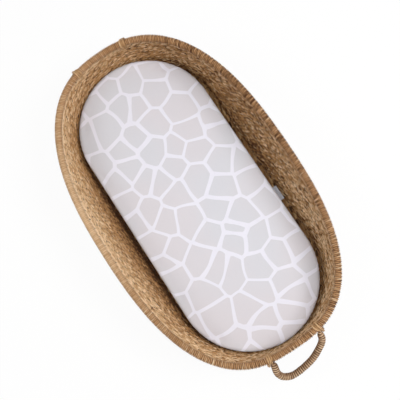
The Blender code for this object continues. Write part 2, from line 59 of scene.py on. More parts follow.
GRAIN = "grain"
TONE = "tone"
CLOTH = "cloth"
TINY = 1e-12
WHITE = (1.0, 1.0, 1.0, 1.0)

Array = np.ndarray


def linear(red: float, green: float, blue: float) -> tuple[float, float, float, float]:
    """Turns a screen colour, 0 to 255 a channel, into the shader's linear colour.

    Args:
        red: Red as it shows on a screen.
        green: Green as it shows on a screen.
        blue: Blue as it shows on a screen.

    Returns:
        The linear colour with full opacity.
    """
    shares = [channel / 255 for channel in (red, green, blue)]
    bent = [s / 12.92 if s <= 0.04045 else ((s + 0.055) / 1.055) ** 2.4 for s in shares]
    return (bent[0], bent[1], bent[2], 1.0)


class Value:
    """A number or a colour that varies over a surface, with its maths as expressions."""

    def __init__(self, shade: "Shade", socket: bpy.types.NodeSocket) -> None:
        """Wraps one output socket of a material."""
        self.shade = shade
        self.socket = socket

    def _math(self, operation: str, *terms: "Value | float", clamp: bool = False) -> "Value":
        """Adds a Math node over the terms and returns its result."""
        settings = {"operation": operation, "use_clamp": clamp}
        return self.shade.node("ShaderNodeMath", settings, dict(enumerate(terms)))

    def __add__(self, other: "Value | float") -> "Value":
        """Adds."""
        return self._math("ADD", self, other)

    __radd__ = __add__

    def __sub__(self, other: "Value | float") -> "Value":
        """Subtracts."""
        return self._math("SUBTRACT", self, other)

    def __rsub__(self, other: float) -> "Value":
        """Subtracts this from a number."""
        return self._math("SUBTRACT", other, self)

    def __mul__(self, other: "Value | float") -> "Value":
        """Multiplies."""
        return self._math("MULTIPLY", self, other)

    __rmul__ = __mul__

    def __truediv__(self, other: "Value | float") -> "Value":
        """Divides."""
        return self._math("DIVIDE", self, other)

    def __pow__(self, other: float) -> "Value":
        """Raises to a power."""
        return self._math("POWER", self, other)

    def clamped(self) -> "Value":
        """Keeps the value from 0 to 1."""
        return self._math("ADD", self, 0.0, clamp=True)

    def least(self, other: "Value | float") -> "Value":
        """Takes the smaller of two values."""
        return self._math("MINIMUM", self, other)

    def step(self, low: float, high: float) -> "Value":
        """Rises smoothly from 0 at low to 1 at high."""
        settings = {"interpolation_type": "SMOOTHSTEP"}
        inputs = {"Value": self, "From Min": low, "From Max": high}
        return self.shade.node("ShaderNodeMapRange", settings, inputs)


Colour = tuple[float, float, float, float]


class Shade:
    """One material and the nodes that make it up."""

    def __init__(self, name: str) -> None:
        """Starts a material with a bare Principled shader."""
        self.material = bpy.data.materials.new(name)
        self.material.use_nodes = True
        self.tree = self.material.node_tree
        self.shader = self.tree.nodes["Principled BSDF"]

    def node(
        self,
        kind: str,
        settings: dict[str, object] | None = None,
        inputs: dict[int | str, object] | None = None,
        output: int | str = 0,
    ) -> Value:
        """Adds any node.

        Args:
            kind: The node's type.
            settings: Its settings, which are set first.
            inputs: Values or links for its input sockets, by index or name.
            output: The output socket that is wanted.

        Returns:
            That output, ready for more maths.
        """
        made = self.tree.nodes.new(kind)
        for key, setting in (settings or {}).items():
            setattr(made, key, setting)
        for key, given in (inputs or {}).items():
            self.feed(made.inputs[key], given)
        return Value(self, made.outputs[output])

    def feed(self, socket: bpy.types.NodeSocket, given: object) -> None:
        """Links a value into a socket, or sets a constant on it.

        Args:
            socket: The input socket.
            given: A wrapped value, or a plain number, colour or vector.
        """
        if isinstance(given, Value):
            self.tree.links.new(given.socket, socket)
        else:
            socket.default_value = given

    def attribute(self, name: str, output: str = "Vector") -> Value:
        """Reads a named attribute of the mesh."""
        return self.node("ShaderNodeAttribute", {"attribute_name": name}, {}, output)

    def noise(self, vector: Value, scale: float, detail: float = 2.0, rough: float = 0.5) -> Value:
        """Adds noise over the given coordinates, from 0 to 1."""
        inputs = {"Vector": vector, "Scale": scale, "Detail": detail, "Roughness": rough}
        return self.node("ShaderNodeTexNoise", {}, inputs)

    def blend(self, factor: "Value | float", low: "Value | Colour", high: "Value | Colour") -> Value:
        """Mixes two colours by a factor."""
        settings = {"data_type": "RGBA"}
        return self.node("ShaderNodeMix", settings, {0: factor, 6: low, 7: high}, 2)

    def darken(self, colour: "Value | Colour", factor: Value) -> Value:
        """Multiplies a colour by a number that varies."""
        given = colour if isinstance(colour, Value) else colour[:3]
        return self.node("ShaderNodeVectorMath", {"operation": "SCALE"}, {0: given, 3: factor})

    def bump(self, height: Value, distance: float, strength: float = 1.0) -> Value:
        """Turns a height, from 0 to 1, into a normal for a relief of this depth in metres."""
        inputs = {"Height": height, "Distance": distance, "Strength": strength}
        return self.node("ShaderNodeBump", {}, inputs)

    def dress(self, **inputs: object) -> bpy.types.Material:
        """Feeds the Principled shader.

        Args:
            **inputs: Socket names with _ for each space, and their values.

        Returns:
            The finished material.
        """
        for name, given in inputs.items():
            self.feed(self.shader.inputs[name.replace("_", " ")], given)
        return self.material


class Strands:
    """A bundle of tubes that becomes one mesh, with its own grain, tone and bake map."""

    GRAIN_SPREAD = 9.0
    ROW_MARGIN = 0.04
    ROW_FILL = 0.99
    LENGTH_SPARE = 1.0001

    def __init__(self, name: str, sides: int = 6, seed: int = 1) -> None:
        """Starts an empty bundle whose tubes have this many sides."""
        self.name = name
        self.sides = sides
        self.chance = np.random.default_rng(seed)
        self.points: list[Array] = []
        self.faces: list[Array] = []
        self.grain: list[Array] = []
        self.tone: list[Array] = []
        self.runs: list[tuple[Array, Array]] = []
        self.count = 0
        self.caps: list[list[int]] = []

    def add(
        self,
        path: Array,
        across: Array,
        out: Array,
        half_width: Array | float,
        half_depth: Array | float,
        tone: Array | float,
        closed: bool = False,
    ) -> None:
        """Adds one flattened tube.

        Args:
            path: Its middle line, a row for each place.
            across: The direction of its width at each place.
            out: The direction of its depth at each place.
            half_width: Half its width, one for all or one for each place.
            half_depth: Half its depth, likewise.
            tone: How light it is, from 0 to 1, likewise.
            closed: Whether its end meets its start.
        """
        places, sides = len(path), self.sides
        turn = 2 * math.pi * np.arange(sides) / sides
        wide = np.broadcast_to(half_width, places)[:, None, None]
        deep = np.broadcast_to(half_depth, places)[:, None, None]
        offset = wide * np.cos(turn)[None, :, None] * across[:, None, :]
        offset = offset + deep * np.sin(turn)[None, :, None] * out[:, None, :]
        self.points.append((path[:, None, :] + offset).reshape(-1, 3))
        ahead = np.roll(path, -1, axis=0)
        lengths = np.linalg.norm(ahead - path, axis=1)
        run = np.concatenate([[0.0], np.cumsum(lengths)])
        grain = np.empty((places, sides, 3))
        grain[:, :, 0] = run[:-1, None]
        grain[:, :, 1] = wide[:, :, 0] * np.cos(turn)
        grain[:, :, 2] = deep[:, :, 0] * np.sin(turn)
        grain += self.chance.uniform(0.0, self.GRAIN_SPREAD, 3)
        self.grain.append(grain.reshape(-1, 3))
        self.tone.append(np.repeat(np.broadcast_to(tone, places), sides))
        steps = places if closed else places - 1
        row = np.arange(steps)[:, None] * sides
        after = (np.arange(steps)[:, None] + 1) % places * sides
        side = np.arange(sides)[None, :]
        beside = (side + 1) % sides
        quads = np.stack([row + side, row + beside, after + beside, after + side], axis=2)
        self.faces.append(quads.reshape(-1, 4) + self.count)
        self.runs.append((run[:-1][:steps], run[1:][:steps]))
        if not closed:
            first = list(range(self.count, self.count + sides))
            last = self.count + (places - 1) * sides
            self.caps += [first[::-1], list(range(last, last + sides))]
        self.count += places * sides

    def _bake_places(self) -> Array:
        """Lays the tubes out in rows over the bake map.

        Returns:
            The map's places for the corners of the quads, in their order.
        """
        starts, ends, offset = [], [], 0.0
        for start, end in self.runs:
            starts.append(start + offset)
            ends.append(end + offset)
            offset += end[-1]
        start, end = np.concatenate(starts), np.concatenate(ends)
        around = 0.5 * offset / sum(len(s) for s in starts) * self.sides
        rows = max(int(math.sqrt(offset / max(around, TINY))), 1)
        length = offset / rows * self.LENGTH_SPARE
        row = np.floor(start / length)
        low = (start - row * length) / length * self.ROW_FILL
        high = np.minimum((end - row * length) / length * self.ROW_FILL, 1.0)
        side = np.arange(self.sides)[None, :]
        fill = 1 - 2 * self.ROW_MARGIN
        base = (row[:, None] + self.ROW_MARGIN + side / self.sides * fill) / rows
        top = (row[:, None] + self.ROW_MARGIN + (side + 1) / self.sides * fill) / rows
        u_low = np.broadcast_to(low[:, None], base.shape)
        u_high = np.broadcast_to(high[:, None], base.shape)
        corners = [(u_low, base), (u_low, top), (u_high, top), (u_high, base)]
        return np.stack([np.stack(corner, axis=-1) for corner in corners], axis=2).reshape(-1, 2)

    def build(self, material: bpy.types.Material) -> bpy.types.Object:
        """Makes the mesh and its object.

        Args:
            material: What the strands wear.

        Returns:
            The new object, linked into the scene.
        """
        points = np.concatenate(self.points)
        quads = np.concatenate(self.faces)
        places = self._bake_places()
        loops = quads.reshape(-1)
        totals = np.full(len(quads), 4)
        if self.caps:
            ends = np.array(self.caps)
            loops = np.concatenate([loops, ends.reshape(-1)])
            totals = np.concatenate([totals, np.full(len(ends), self.sides)])
            places = np.concatenate([places, np.full((ends.size, 2), 0.001)])
        mesh = bpy.data.meshes.new(self.name)
        mesh.vertices.add(len(points))
        mesh.vertices.foreach_set("co", points.astype(np.float32).ravel())
        mesh.loops.add(len(loops))
        mesh.loops.foreach_set("vertex_index", loops.astype(np.int32))
        mesh.polygons.add(len(totals))
        first = np.concatenate([[0], np.cumsum(totals)[:-1]])
        mesh.polygons.foreach_set("loop_start", first.astype(np.int32))
        mesh.update(calc_edges=True)
        attach(mesh, GRAIN, np.concatenate(self.grain))
        attach(mesh, TONE, np.concatenate(self.tone))
        mesh.uv_layers.new(name=BAKE_MAP)
        mesh.uv_layers[BAKE_MAP].uv.foreach_set("vector", places.astype(np.float32).ravel())
        mesh.shade_smooth()
        mesh.materials.append(material)
        return placed(self.name, mesh)


def placed(name: str, mesh: bpy.types.Mesh) -> bpy.types.Object:
    """Links a new object for a mesh into the scene and returns it."""
    made = bpy.data.objects.new(name, mesh)
    bpy.context.scene.collection.objects.link(made)
    return made


def meshed(name: str, bm: bmesh.types.BMesh) -> bpy.types.Object:
    """Turns a worked mesh into a smooth object in the scene, and returns it."""
    mesh = bpy.data.meshes.new(name)
    bm.to_mesh(mesh)
    bm.free()
    mesh.shade_smooth()
    return placed(name, mesh)


def attach(mesh: bpy.types.Mesh, name: str, values: Array) -> None:
    """Gives each point of a mesh a number or a vector, as a named attribute."""
    kind, key = ("FLOAT", "value") if values.ndim == 1 else ("FLOAT_VECTOR", "vector")
    made = mesh.attributes.new(name, kind, "POINT")
    made.data.foreach_set(key, values.astype(np.float32).ravel())


def unit(rows: Array) -> Array:
    """Scales each row to length 1."""
    return rows / np.maximum(np.linalg.norm(rows, axis=-1, keepdims=True), TINY)


def eased(share: Array) -> Array:
    """Bends a share from 0 to 1 so that it starts and ends gently."""
    return share * share * (3 - 2 * share)


def run_along(path: Array) -> Array:
    """The length run along a path up to each of its points."""
    return np.concatenate([[0.0], np.cumsum(np.linalg.norm(np.diff(path, axis=0), axis=1))])


def upright_frames(path: Array, out: Array) -> tuple[Array, Array]:
    """Squares a way out to a path, and gives the way across both.

    Args:
        path: The middle line.
        out: Roughly the way out at each place.

    Returns:
        The way across and the way out, both square to the path.
    """
    heading = unit(np.gradient(path, axis=0))
    out = unit(out - (out * heading).sum(1, keepdims=True) * heading)
    return np.cross(heading, out), out


def slow_noise(chance: np.random.Generator, count: int, period: int, closed: bool = True) -> Array:
    """Gives a smooth random run of values.

    Args:
        chance: The random numbers to draw from.
        count: How many values are wanted.
        period: How many values lie between two of its bends.
        closed: Whether the last value leads back to the first.

    Returns:
        Values around 0, mostly from -1 to 1.
    """
    knots = max(count // max(period, 1), 4)
    drawn = chance.normal(0.0, 0.5, knots)
    drawn = np.append(drawn, drawn[0] if closed else chance.normal(0.0, 0.5))
    place = np.arange(count) / count * knots
    low = place.astype(int)
    share = eased(place - low)
    return drawn[low] * (1 - share) + drawn[low + 1] * share


# Finishes


@dataclass(frozen=True)
class Seagrass:
    """Dry seagrass: streaks along each blade, its own tone for each strand, and a low sheen."""

    slot: str
    dark: Colour
    middle: Colour
    light: Colour
    stretch: tuple[float, float, float] = (0.035, 1.0, 1.0)
    patch_scale: float = 60.0
    patch_weight: float = 0.18
    streak_scale: float = 900.0
    streak_weight: float = 0.60
    fibre_scale: float = 2430.0
    fibre_weight: float = 0.3
    deepest_shadow: float = 0.74
    shadow_weight: float = 0.5
    relief: float = 0.00025
    roughness: float = 0.54
    gloss_weight: float = 0.18
    specular: float = 0.30
    sheen: float = 0.06
    sheen_roughness: float = 0.4

    def material(self, name: str) -> bpy.types.Material:
        """Makes the material.

        Args:
            name: The material's name.

        Returns:
            The material, which reads the strands' grain and tone.
        """
        shade = Shade(name)
        grain = shade.attribute(GRAIN)
        stretched = shade.node(
            "ShaderNodeVectorMath", {"operation": "MULTIPLY"}, {0: grain, 1: self.stretch}
        )
        patches = shade.noise(grain, self.patch_scale)
        streaks = shade.noise(stretched, self.streak_scale, rough=0.6)
        fibres = shade.noise(stretched, self.fibre_scale, detail=1.0)
        tone = shade.attribute(TONE, "Fac")
        mottle = (patches - 0.5) * self.patch_weight + (streaks - 0.5) * self.streak_weight
        level = (tone + mottle).clamped()
        low = shade.blend(level.step(0.0, 0.5), self.dark, self.middle)
        colour = shade.blend(level.step(0.45, 1.0), low, self.light)
        shadow = (self.deepest_shadow + fibres * self.shadow_weight).least(1.0)
        height = streaks * (1 - self.fibre_weight) + fibres * self.fibre_weight
        return shade.dress(
            Base_Color=shade.darken(colour, shadow),
            Roughness=(self.roughness + (0.5 - level) * self.gloss_weight).clamped(),
            Normal=shade.bump(height, self.relief),
            Specular_IOR_Level=self.specular,
            Sheen_Weight=self.sheen,
            Sheen_Roughness=self.sheen_roughness,
        )


@dataclass(frozen=True)
class PrintedCotton:
    """Soft cotton, printed with large pale cells between white lines."""

    slot: str = "printed_cotton"
    cell: Colour = linear(212, 212, 218)
    warm_cell: Colour = linear(215, 211, 216)
    line: Colour = linear(231, 230, 240)
    cells_per_metre: float = 17.5
    cell_randomness: float = 0.82
    line_half_width: float = 0.0038
    line_softness: float = 0.14
    edge_weight: float = 0.40
    gap_weight: float = 0.30
    sway_scale: float = 12.0
    sway: float = 0.024
    swell_scale: float = 7.0
    swell: float = 0.060
    wash_scale: float = 5.0
    wash_from: float = 0.35
    wash_to: float = 0.65
    knit_scale: float = 260.0
    row_scale: float = 200.0
    knit_relief: float = 0.00018
    knit_gloss: float = 0.06
    fluff_scale: float = 160.0
    fluff_weight: float = 0.05
    roughness: float = 0.86
    sheen: float = 0.25
    sheen_roughness: float = 0.5

    def _knit(self, shade: Shade, flat: Value, way: str, scale: float) -> Value:
        """Adds the fine ridges of the cloth along one way."""
        settings = {"wave_type": "BANDS", "bands_direction": way}
        bends = {"Distortion": 1.2, "Detail": 1.0, "Detail Scale": 3.0}
        inputs = {"Vector": flat, "Scale": scale, **bends}
        return shade.node("ShaderNodeTexWave", settings, inputs, "Fac")

    def _swayed(self, shade: Shade, flat: Value) -> Value:
        """Bends the cloth's coordinates a little, so that the cells' sides aren't straight."""
        vector = "ShaderNodeVectorMath"
        inputs = {"Vector": flat, "Scale": self.sway_scale, "Detail": 0.0}
        sway = shade.node("ShaderNodeTexNoise", {}, inputs, "Color")
        sway = shade.node(vector, {"operation": "SUBTRACT"}, {0: sway, 1: (0.5,) * 3})
        sway = shade.node(vector, {"operation": "SCALE"}, {0: sway, 3: self.sway})
        return shade.node(vector, {"operation": "ADD"}, {0: flat, 1: sway})

    def _inside(self, shade: Shade, flat: Value) -> Value:
        """How far each place lies from the nearest line, in cells."""
        scaled = {"Scale": self.cells_per_metre, "Randomness": self.cell_randomness}
        inputs = {"Vector": self._swayed(shade, flat), **scaled}
        edge, first, after = (
            shade.node(
                "ShaderNodeTexVoronoi",
                {"voronoi_dimensions": "2D", "feature": feature},
                inputs,
                "Distance",
            )
            for feature in ("DISTANCE_TO_EDGE", "F1", "F2")
        )
        swell = (shade.noise(flat, self.swell_scale, 0.0) - 0.5) * self.swell
        return edge * self.edge_weight + (after - first) * self.gap_weight + swell

    def material(self, name: str) -> bpy.types.Material:
        """Makes the material.

        Args:
            name: The material's name.

        Returns:
            The material, which reads the cloth's own flat coordinates.
        """
        shade = Shade(name)
        flat = shade.attribute(CLOTH)
        line = self.line_half_width * self.cells_per_metre
        soft = self.line_softness
        cell = self._inside(shade, flat).step(line * (1 - soft), line * (1 + soft))
        wash = shade.noise(flat, self.wash_scale, 1.0).step(self.wash_from, self.wash_to)
        ground = shade.blend(wash, self.cell, self.warm_cell)
        knit = self._knit(shade, flat, "X", self.knit_scale)
        rows = self._knit(shade, flat, "Y", self.row_scale)
        fluff = shade.noise(flat, self.fluff_scale) * self.fluff_weight
        shadow = (1 - self.fluff_weight / 2 + fluff).least(1.0)
        return shade.dress(
            Base_Color=shade.darken(shade.blend(cell, self.line, ground), shadow),
            Roughness=self.roughness + knit * self.knit_gloss,
            Normal=shade.bump((knit + rows) * 0.5, self.knit_relief),
            Sheen_Weight=self.sheen,
            Sheen_Roughness=self.sheen_roughness,
        )


@dataclass(frozen=True)
class Tape:
    """A narrow woven tape with a ribbed surface."""

    slot: str
    colour: Colour
    ribs_per_metre: float = 900.0
    wear_scale: float = 400.0
    wear_weight: float = 0.30
    darkest: float = 0.80
    rib_shine: float = 0.08
    rib_relief: float = 0.0002
    roughness: float = 0.6

    def material(self, name: str) -> bpy.types.Material:
        """Makes the material, ribbed across its length."""
        shade = Shade(name)
        place = shade.node("ShaderNodeTexCoord", {}, {}, "Object")
        settings = {"wave_type": "BANDS", "bands_direction": "X"}
        inputs = {"Vector": place, "Scale": self.ribs_per_metre / 2, "Distortion": 0.6}
        ribs = shade.node("ShaderNodeTexWave", settings, inputs, "Fac")
        worn = shade.noise(place, self.wear_scale) * self.wear_weight
        return shade.dress(
            Base_Color=shade.darken(self.colour, self.darkest + worn + ribs * self.rib_shine),
            Roughness=self.roughness + ribs * 0.2,
            Normal=shade.bump(ribs, self.rib_relief),
        )


@dataclass(frozen=True)
class WipeClean:
    """Thin coated cloth: white, with a fine pebble and a soft gloss."""

    slot: str = "wipe_clean_cover"
    colour: Colour = linear(232, 233, 236)
    pebble_scale: float = 700.0
    pebble_weight: float = 0.2
    wrinkle_scale: float = 22.0
    relief: float = 0.0008
    roughness: float = 0.36

    def material(self, name: str) -> bpy.types.Material:
        """Makes the material."""
        shade = Shade(name)
        place = shade.node("ShaderNodeTexCoord", {}, {}, "Object")
        pebble = shade.noise(place, self.pebble_scale)
        wrinkle = shade.noise(place, self.wrinkle_scale)
        height = pebble * self.pebble_weight + wrinkle * (1 - self.pebble_weight)
        # Painted shade: the colour darkens where the wrinkles' bump is low.
        return shade.dress(
            Base_Color=shade.darken(self.colour, 0.93 + wrinkle * 0.10),
            Roughness=self.roughness + pebble * 0.16,
            Normal=shade.bump(height, self.relief),
        )


class Tan(Enum):
    """The seagrass finishes, from the wall's to the lashings'."""

    WALL = Seagrass("seagrass", linear(90, 52, 22), linear(187, 139, 87), linear(244, 214, 174))
    STAKE = Seagrass("seagrass", linear(48, 30, 14), linear(92, 64, 36), linear(140, 106, 66))
    RIM = Seagrass("rim_seagrass", linear(92, 56, 26), linear(186, 141, 96), linear(244, 216, 178))
    FLOOR = Seagrass("floor_weave", linear(76, 48, 24), linear(160, 120, 76), linear(212, 176, 126))
    ROPE = Seagrass("rope_wrap", linear(84, 54, 32), linear(166, 130, 98), linear(222, 190, 154))
    LASHING = Seagrass("lashing", linear(104, 68, 36), linear(190, 146, 98), linear(240, 204, 156))


# The basket's surfaces


@dataclass(frozen=True)
class BasketForm:
    """The wall's middle surface, from its heel on the floor to the middle of the rim."""

    straight: float = 0.1995
    heel_radius: float = 0.1755
    rim_half_length: float = 0.3785
    rim_half_width: float = 0.2172
    foot_power: float = 2.71
    head_power: float = 2.43
    floor_top: float = 0.0123
    side_height: float = 0.190
    head_height: float = 0.155
    foot_height: float = 0.135
    bulge: float = 0.6
    # The direction where the painted light, paler grass, is strongest.
    sunny_side: float = -110.0
    worn_side: float = 20.0
    nudge: float = 1e-4
    ring_points: int = 8193

    def heel(self, angle: Array) -> Array:
        """Reach of the heel in each direction."""
        along, across = np.abs(np.cos(angle)), np.abs(np.sin(angle))
        flat = self.heel_radius / np.maximum(across, TINY)
        under = np.maximum(self.heel_radius**2 - (self.straight * across) ** 2, 0.0)
        sided = along * self.heel_radius <= across * self.straight
        return np.where(sided, flat, self.straight * along + np.sqrt(under))

    def rim(self, angle: Array) -> Array:
        """Reach of the rim's middle in each direction."""
        power = np.where(np.cos(angle) > 0, self.foot_power, self.head_power)
        along = np.abs(np.cos(angle)) / self.rim_half_length
        across = np.abs(np.sin(angle)) / self.rim_half_width
        return (along**power + across**power) ** (-1 / power)

    def rim_height(self, angle: Array) -> Array:
        """Height of the rim's middle in each direction."""
        along = self.rim(angle) * np.cos(angle)
        end = np.where(along > 0, self.foot_height, self.head_height)
        return self.side_height + (end - self.side_height) * (along / self.rim_half_length) ** 2

    def place(self, angle: Array, height: Array) -> Array:
        """Places on the wall's middle surface.

        Args:
            angle: The directions.
            height: The height at each.

        Returns:
            A row of coordinates for each.
        """
        share = (height - self.floor_top) / (self.rim_height(angle) - self.floor_top)
        lean = (1 - self.bulge) * share + self.bulge * (1 - (1 - share) ** 2)
        heel = self.heel(angle)
        reach = heel + (self.rim(angle) - heel) * lean
        return np.stack([reach * np.cos(angle), reach * np.sin(angle), height], axis=-1)

    def axes(self, angle: Array, height: Array) -> tuple[Array, Array]:
        """The ways out of and up the wall.

        Args:
            angle: The directions.
            height: The height at each.

        Returns:
            The way out and the way up at each place.
        """
        step = self.nudge
        along = unit(self.place(angle + step, height) - self.place(angle - step, height))
        rise = self.place(angle, height + step) - self.place(angle, height - step)
        up = unit(rise - (rise * along).sum(1, keepdims=True) * along)
        return np.cross(along, up), up

    def toward(self, angle: Array, degrees: float) -> Array:
        """How near each direction is to a given one, from 0 to 1."""
        return (0.5 + 0.5 * np.cos(angle - math.radians(degrees))) ** 2

    def sun(self, angle: Array) -> Array:
        """How much painted light each direction gets, as paler grass, from 0 to 1: most at the
        head's left.
        """
        return self.toward(angle, self.sunny_side)

    def worn(self, angle: Array) -> Array:
        """How worn the grass is in each direction, from 0 to 1: most at the foot."""
        return self.toward(angle, self.worn_side) ** 2

    def even_angles(self, count: int) -> Array:
        """Directions that cut the rim into equal lengths, with the first one repeated at the end."""
        fine = np.linspace(0.0, 2 * math.pi, self.ring_points)
        run = run_along(self.place(fine, self.rim_height(fine)))
        return np.interp(np.arange(count + 1) / count * run[-1], run, fine)


FORM = BasketForm()
DASH_SPREAD = 0.12
ODD_SHARE = 0.16, 0.20
ODD_TONE = 0.32


def dash_tones(
    chance: np.random.Generator, place: Array, contrast: Array | float = 1.0
) -> Array:
    """Gives a strand its own tone at each stake or turn: mostly middling, some light or dark.

    Args:
        chance: The random numbers to draw from.
        place: Where along the strand each point lies, counted in stakes or turns.
        contrast: How strong the tones are, one for all or one for each point.

    Returns:
        The tone at each point, around 0.
    """
    count = int(math.ceil(place[-1])) + 1
    drawn = chance.normal(0.0, DASH_SPREAD, count)
    pick = chance.random(count)
    dark, light = ODD_SHARE
    drawn += np.where(pick < dark, -ODD_TONE, 0.0) + np.where(pick > 1 - light, ODD_TONE, 0.0)
    return contrast * drawn[np.floor(place + 0.5).astype(int) % count]


@dataclass
class WovenWall:
    """The twined wall: pairs of strands, each of several blades, that twist round the stakes."""

    stakes: int = 180
    steps: int = 4
    rows: int = 13
    bands: tuple[int, ...] = (-1, 1, 3, 5, 7, 9, 11, 13)
    seed: int = 11
    rim_room: float = 0.0030
    full_pitch: float = 0.0133
    base_pitch: float = 0.0112
    row_wander: float = 0.05
    row_period: int = 60
    weave_depth: float = 0.0016
    weave_rise: float = 0.0015
    edge_dip: float = 0.30
    slant: float = 0.14
    stagger: float = 0.16
    stagger_period: int = 24
    bundle_half: float = 0.0051
    pinch: float = 0.28
    blades: int = 5
    blade_half_width: float = 0.00125
    blade_half_depth: float = 0.0009
    blade_pinch: float = 0.20
    blade_unevenness: float = 0.14
    width_period: int = 11
    drift: float = 0.0004
    drift_period: int = 8
    sway: float = 0.0005
    sway_period: int = 6
    stake_half_width: float = 0.0042
    stake_half_depth: float = 0.0007
    stake_overlap: float = 0.0092
    stake_places: int = 12
    stake_tone: float = 0.4
    stake_spread: float = 0.1
    tone: float = 0.46
    tone_wander: float = 0.06
    tone_period: int = 70
    # Painted light: paler grass that grows towards the rim, most on the lit side.
    fade_from: float = 0.30
    fade_over: float = 0.45
    low_fade: float = 0.12
    high_fade: float = 0.27
    wear_fade: float = 0.28
    shade: float = 0.08
    rim_rows: int = 2
    # Painted light on the top rows, against the shadow under the rim.
    rim_fade: float = 0.14
    rim_sun_fade: float = 0.08
    contrast: float = 1.15
    # Less contrast where the painted light falls.
    sun_calm: float = 0.60
    wear_contrast: float = 0.20
    # Painted shade at the wall's base, on its inner side, where the gap beside the mattress is dark.
    soil: float = 0.45
    soil_rows: float = 4.0
    soil_everywhere: float = 0.3
    soil_in_sun: float = 0.7
    soil_at_foot: float = 0.6
    soiled_side: float = -25.0

    def _ageing(self, row: int, angle: Array) -> tuple[Array, Array, Array]:
        """How light, how varied and how dark the grass of a row is, with painted light and painted
        shade in its tone.

        Args:
            row: The row, counted from the floor up.
            angle: The direction of each place.

        Returns:
            What painted light and wear add to the tone, its contrast, and what painted shade takes
            on the inside.
        """
        sun, worn = FORM.sun(angle), FORM.worn(angle)
        share = np.clip(((row + 0.5) / self.rows - self.fade_from) / self.fade_over, 0, 1)
        # Painted light: paler towards the rim, scaled by how much the side is lit.
        light_by_height = self.low_fade + self.high_fade * eased(share)
        light_and_wear = sun * light_by_height + self.wear_fade * worn - self.shade
        # Painted light on the top rows, against the shadow under the rim.
        if row >= self.rows - self.rim_rows:
            light_and_wear = light_and_wear + self.rim_fade + self.rim_sun_fade * sun
        # Less contrast on the lit side, with the painted light.
        contrast = self.contrast - self.sun_calm * sun + self.wear_contrast * worn
        # Painted shade at the wall's base, strongest on the lit side and towards the foot's left.
        foot = self.soil_at_foot * FORM.toward(angle, self.soiled_side)
        low = min(max(1 - row / self.soil_rows, 0), 1)
        shade_taken = self.soil * low * (self.soil_everywhere + self.soil_in_sun * sun + foot)
        return light_and_wear, contrast, shade_taken

    def _add_row(self, strands: Strands, row: int, jitter: np.random.Generator) -> None:
        """Adds both strands of a row, each of several blades. Row -1 goes round the floor."""
        count = self.stakes * self.steps
        place = np.arange(count) / self.steps
        angle = np.interp(place, np.arange(self.stakes + 1), FORM.even_angles(self.stakes))
        pitch = (FORM.rim_height(angle) - self.rim_room - FORM.floor_top) / self.rows
        if row < 0:
            pitch = np.full(count, self.base_pitch)
        wander = self.row_wander * slow_noise(jitter, count, self.row_period)
        height = FORM.floor_top + pitch * (row + 0.5 + wander)
        scale = pitch / self.full_pitch
        middle = FORM.place(angle, height)
        out, up = FORM.axes(angle, height)
        light_and_wear, contrast, shade_taken = self._ageing(row, angle)
        for strand in range(2):
            mottle = self.tone_wander * slow_noise(jitter, count, self.tone_period)
            for blade in range(self.blades):
                side = 2 * blade / (self.blades - 1) - 1
                shift = self.slant * side + self.stagger * jitter.normal()
                shift = shift + self.stagger / 2 * slow_noise(jitter, count, self.stagger_period)
                phase = math.pi * (place + strand + shift)
                swing, lift = np.cos(phase), np.sin(phase)
                spread = self.bundle_half * (1 - self.pinch + self.pinch * np.abs(swing))
                drift = self.drift * slow_noise(jitter, count, self.drift_period)
                rise = (self.weave_rise * lift + side * spread + drift) * scale
                depth = self.weave_depth * swing * (1 - self.edge_dip * side * side)
                depth = depth + self.sway * slow_noise(jitter, count, self.sway_period)
                path = middle + rise[:, None] * up + depth[:, None] * out
                dashes = dash_tones(jitter, place + shift + 1, contrast)
                # Painted shade on the low rows, where the strands lie on the inner side.
                painted_shade = shade_taken * np.clip(0.5 - swing, 0, 1)
                tone = np.clip(self.tone + mottle + light_and_wear + dashes - painted_shade, 0, 1)
                narrowed = 1 - self.blade_pinch + self.blade_pinch * np.abs(swing)
                uneven = 1 + self.blade_unevenness * slow_noise(jitter, count, self.width_period)
                width = self.blade_half_width * scale * narrowed * uneven
                strands.add(path, up, out, width, self.blade_half_depth, tone, True)

    def _add_stakes(self, strands: Strands, jitter: np.random.Generator) -> None:
        """Adds the flat upright stakes, side by side."""
        for angle in FORM.even_angles(self.stakes + self.stakes // 2)[:-1]:
            top = float(FORM.rim_height(np.array([angle]))[0]) - self.rim_room
            ring = np.full(self.stake_places, angle)
            height = np.linspace(FORM.floor_top - self.stake_overlap, top, self.stake_places)
            path = FORM.place(ring, height)
            across, out = upright_frames(path, FORM.axes(ring, height)[0])
            tone = self.stake_tone + jitter.normal(0.0, self.stake_spread)
            strands.add(path, across, out, self.stake_half_width, self.stake_half_depth, tone)

    def build(self) -> list[bpy.types.Object]:
        """Makes the wall.

        Returns:
            Its pieces, from the floor up, and the stakes.
        """
        jitter = np.random.default_rng(self.seed)
        material = Tan.WALL.value.material("twined_seagrass")
        pieces = []
        for low, high in zip(self.bands, self.bands[1:]):
            strands = Strands(f"wall_rows_{low + 1}_to_{high}", 5, self.seed + low)
            for row in range(low, high):
                self._add_row(strands, row, jitter)
            pieces.append(strands.build(material))
        stakes = Strands("wall_stakes", 6, self.seed + 99)
        self._add_stakes(stakes, jitter)
        pieces.append(stakes.build(Tan.STAKE.value.material("seagrass_stakes")))
        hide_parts("woven_wall")
        for piece in pieces:
            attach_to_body(piece, "basket")
        return pieces


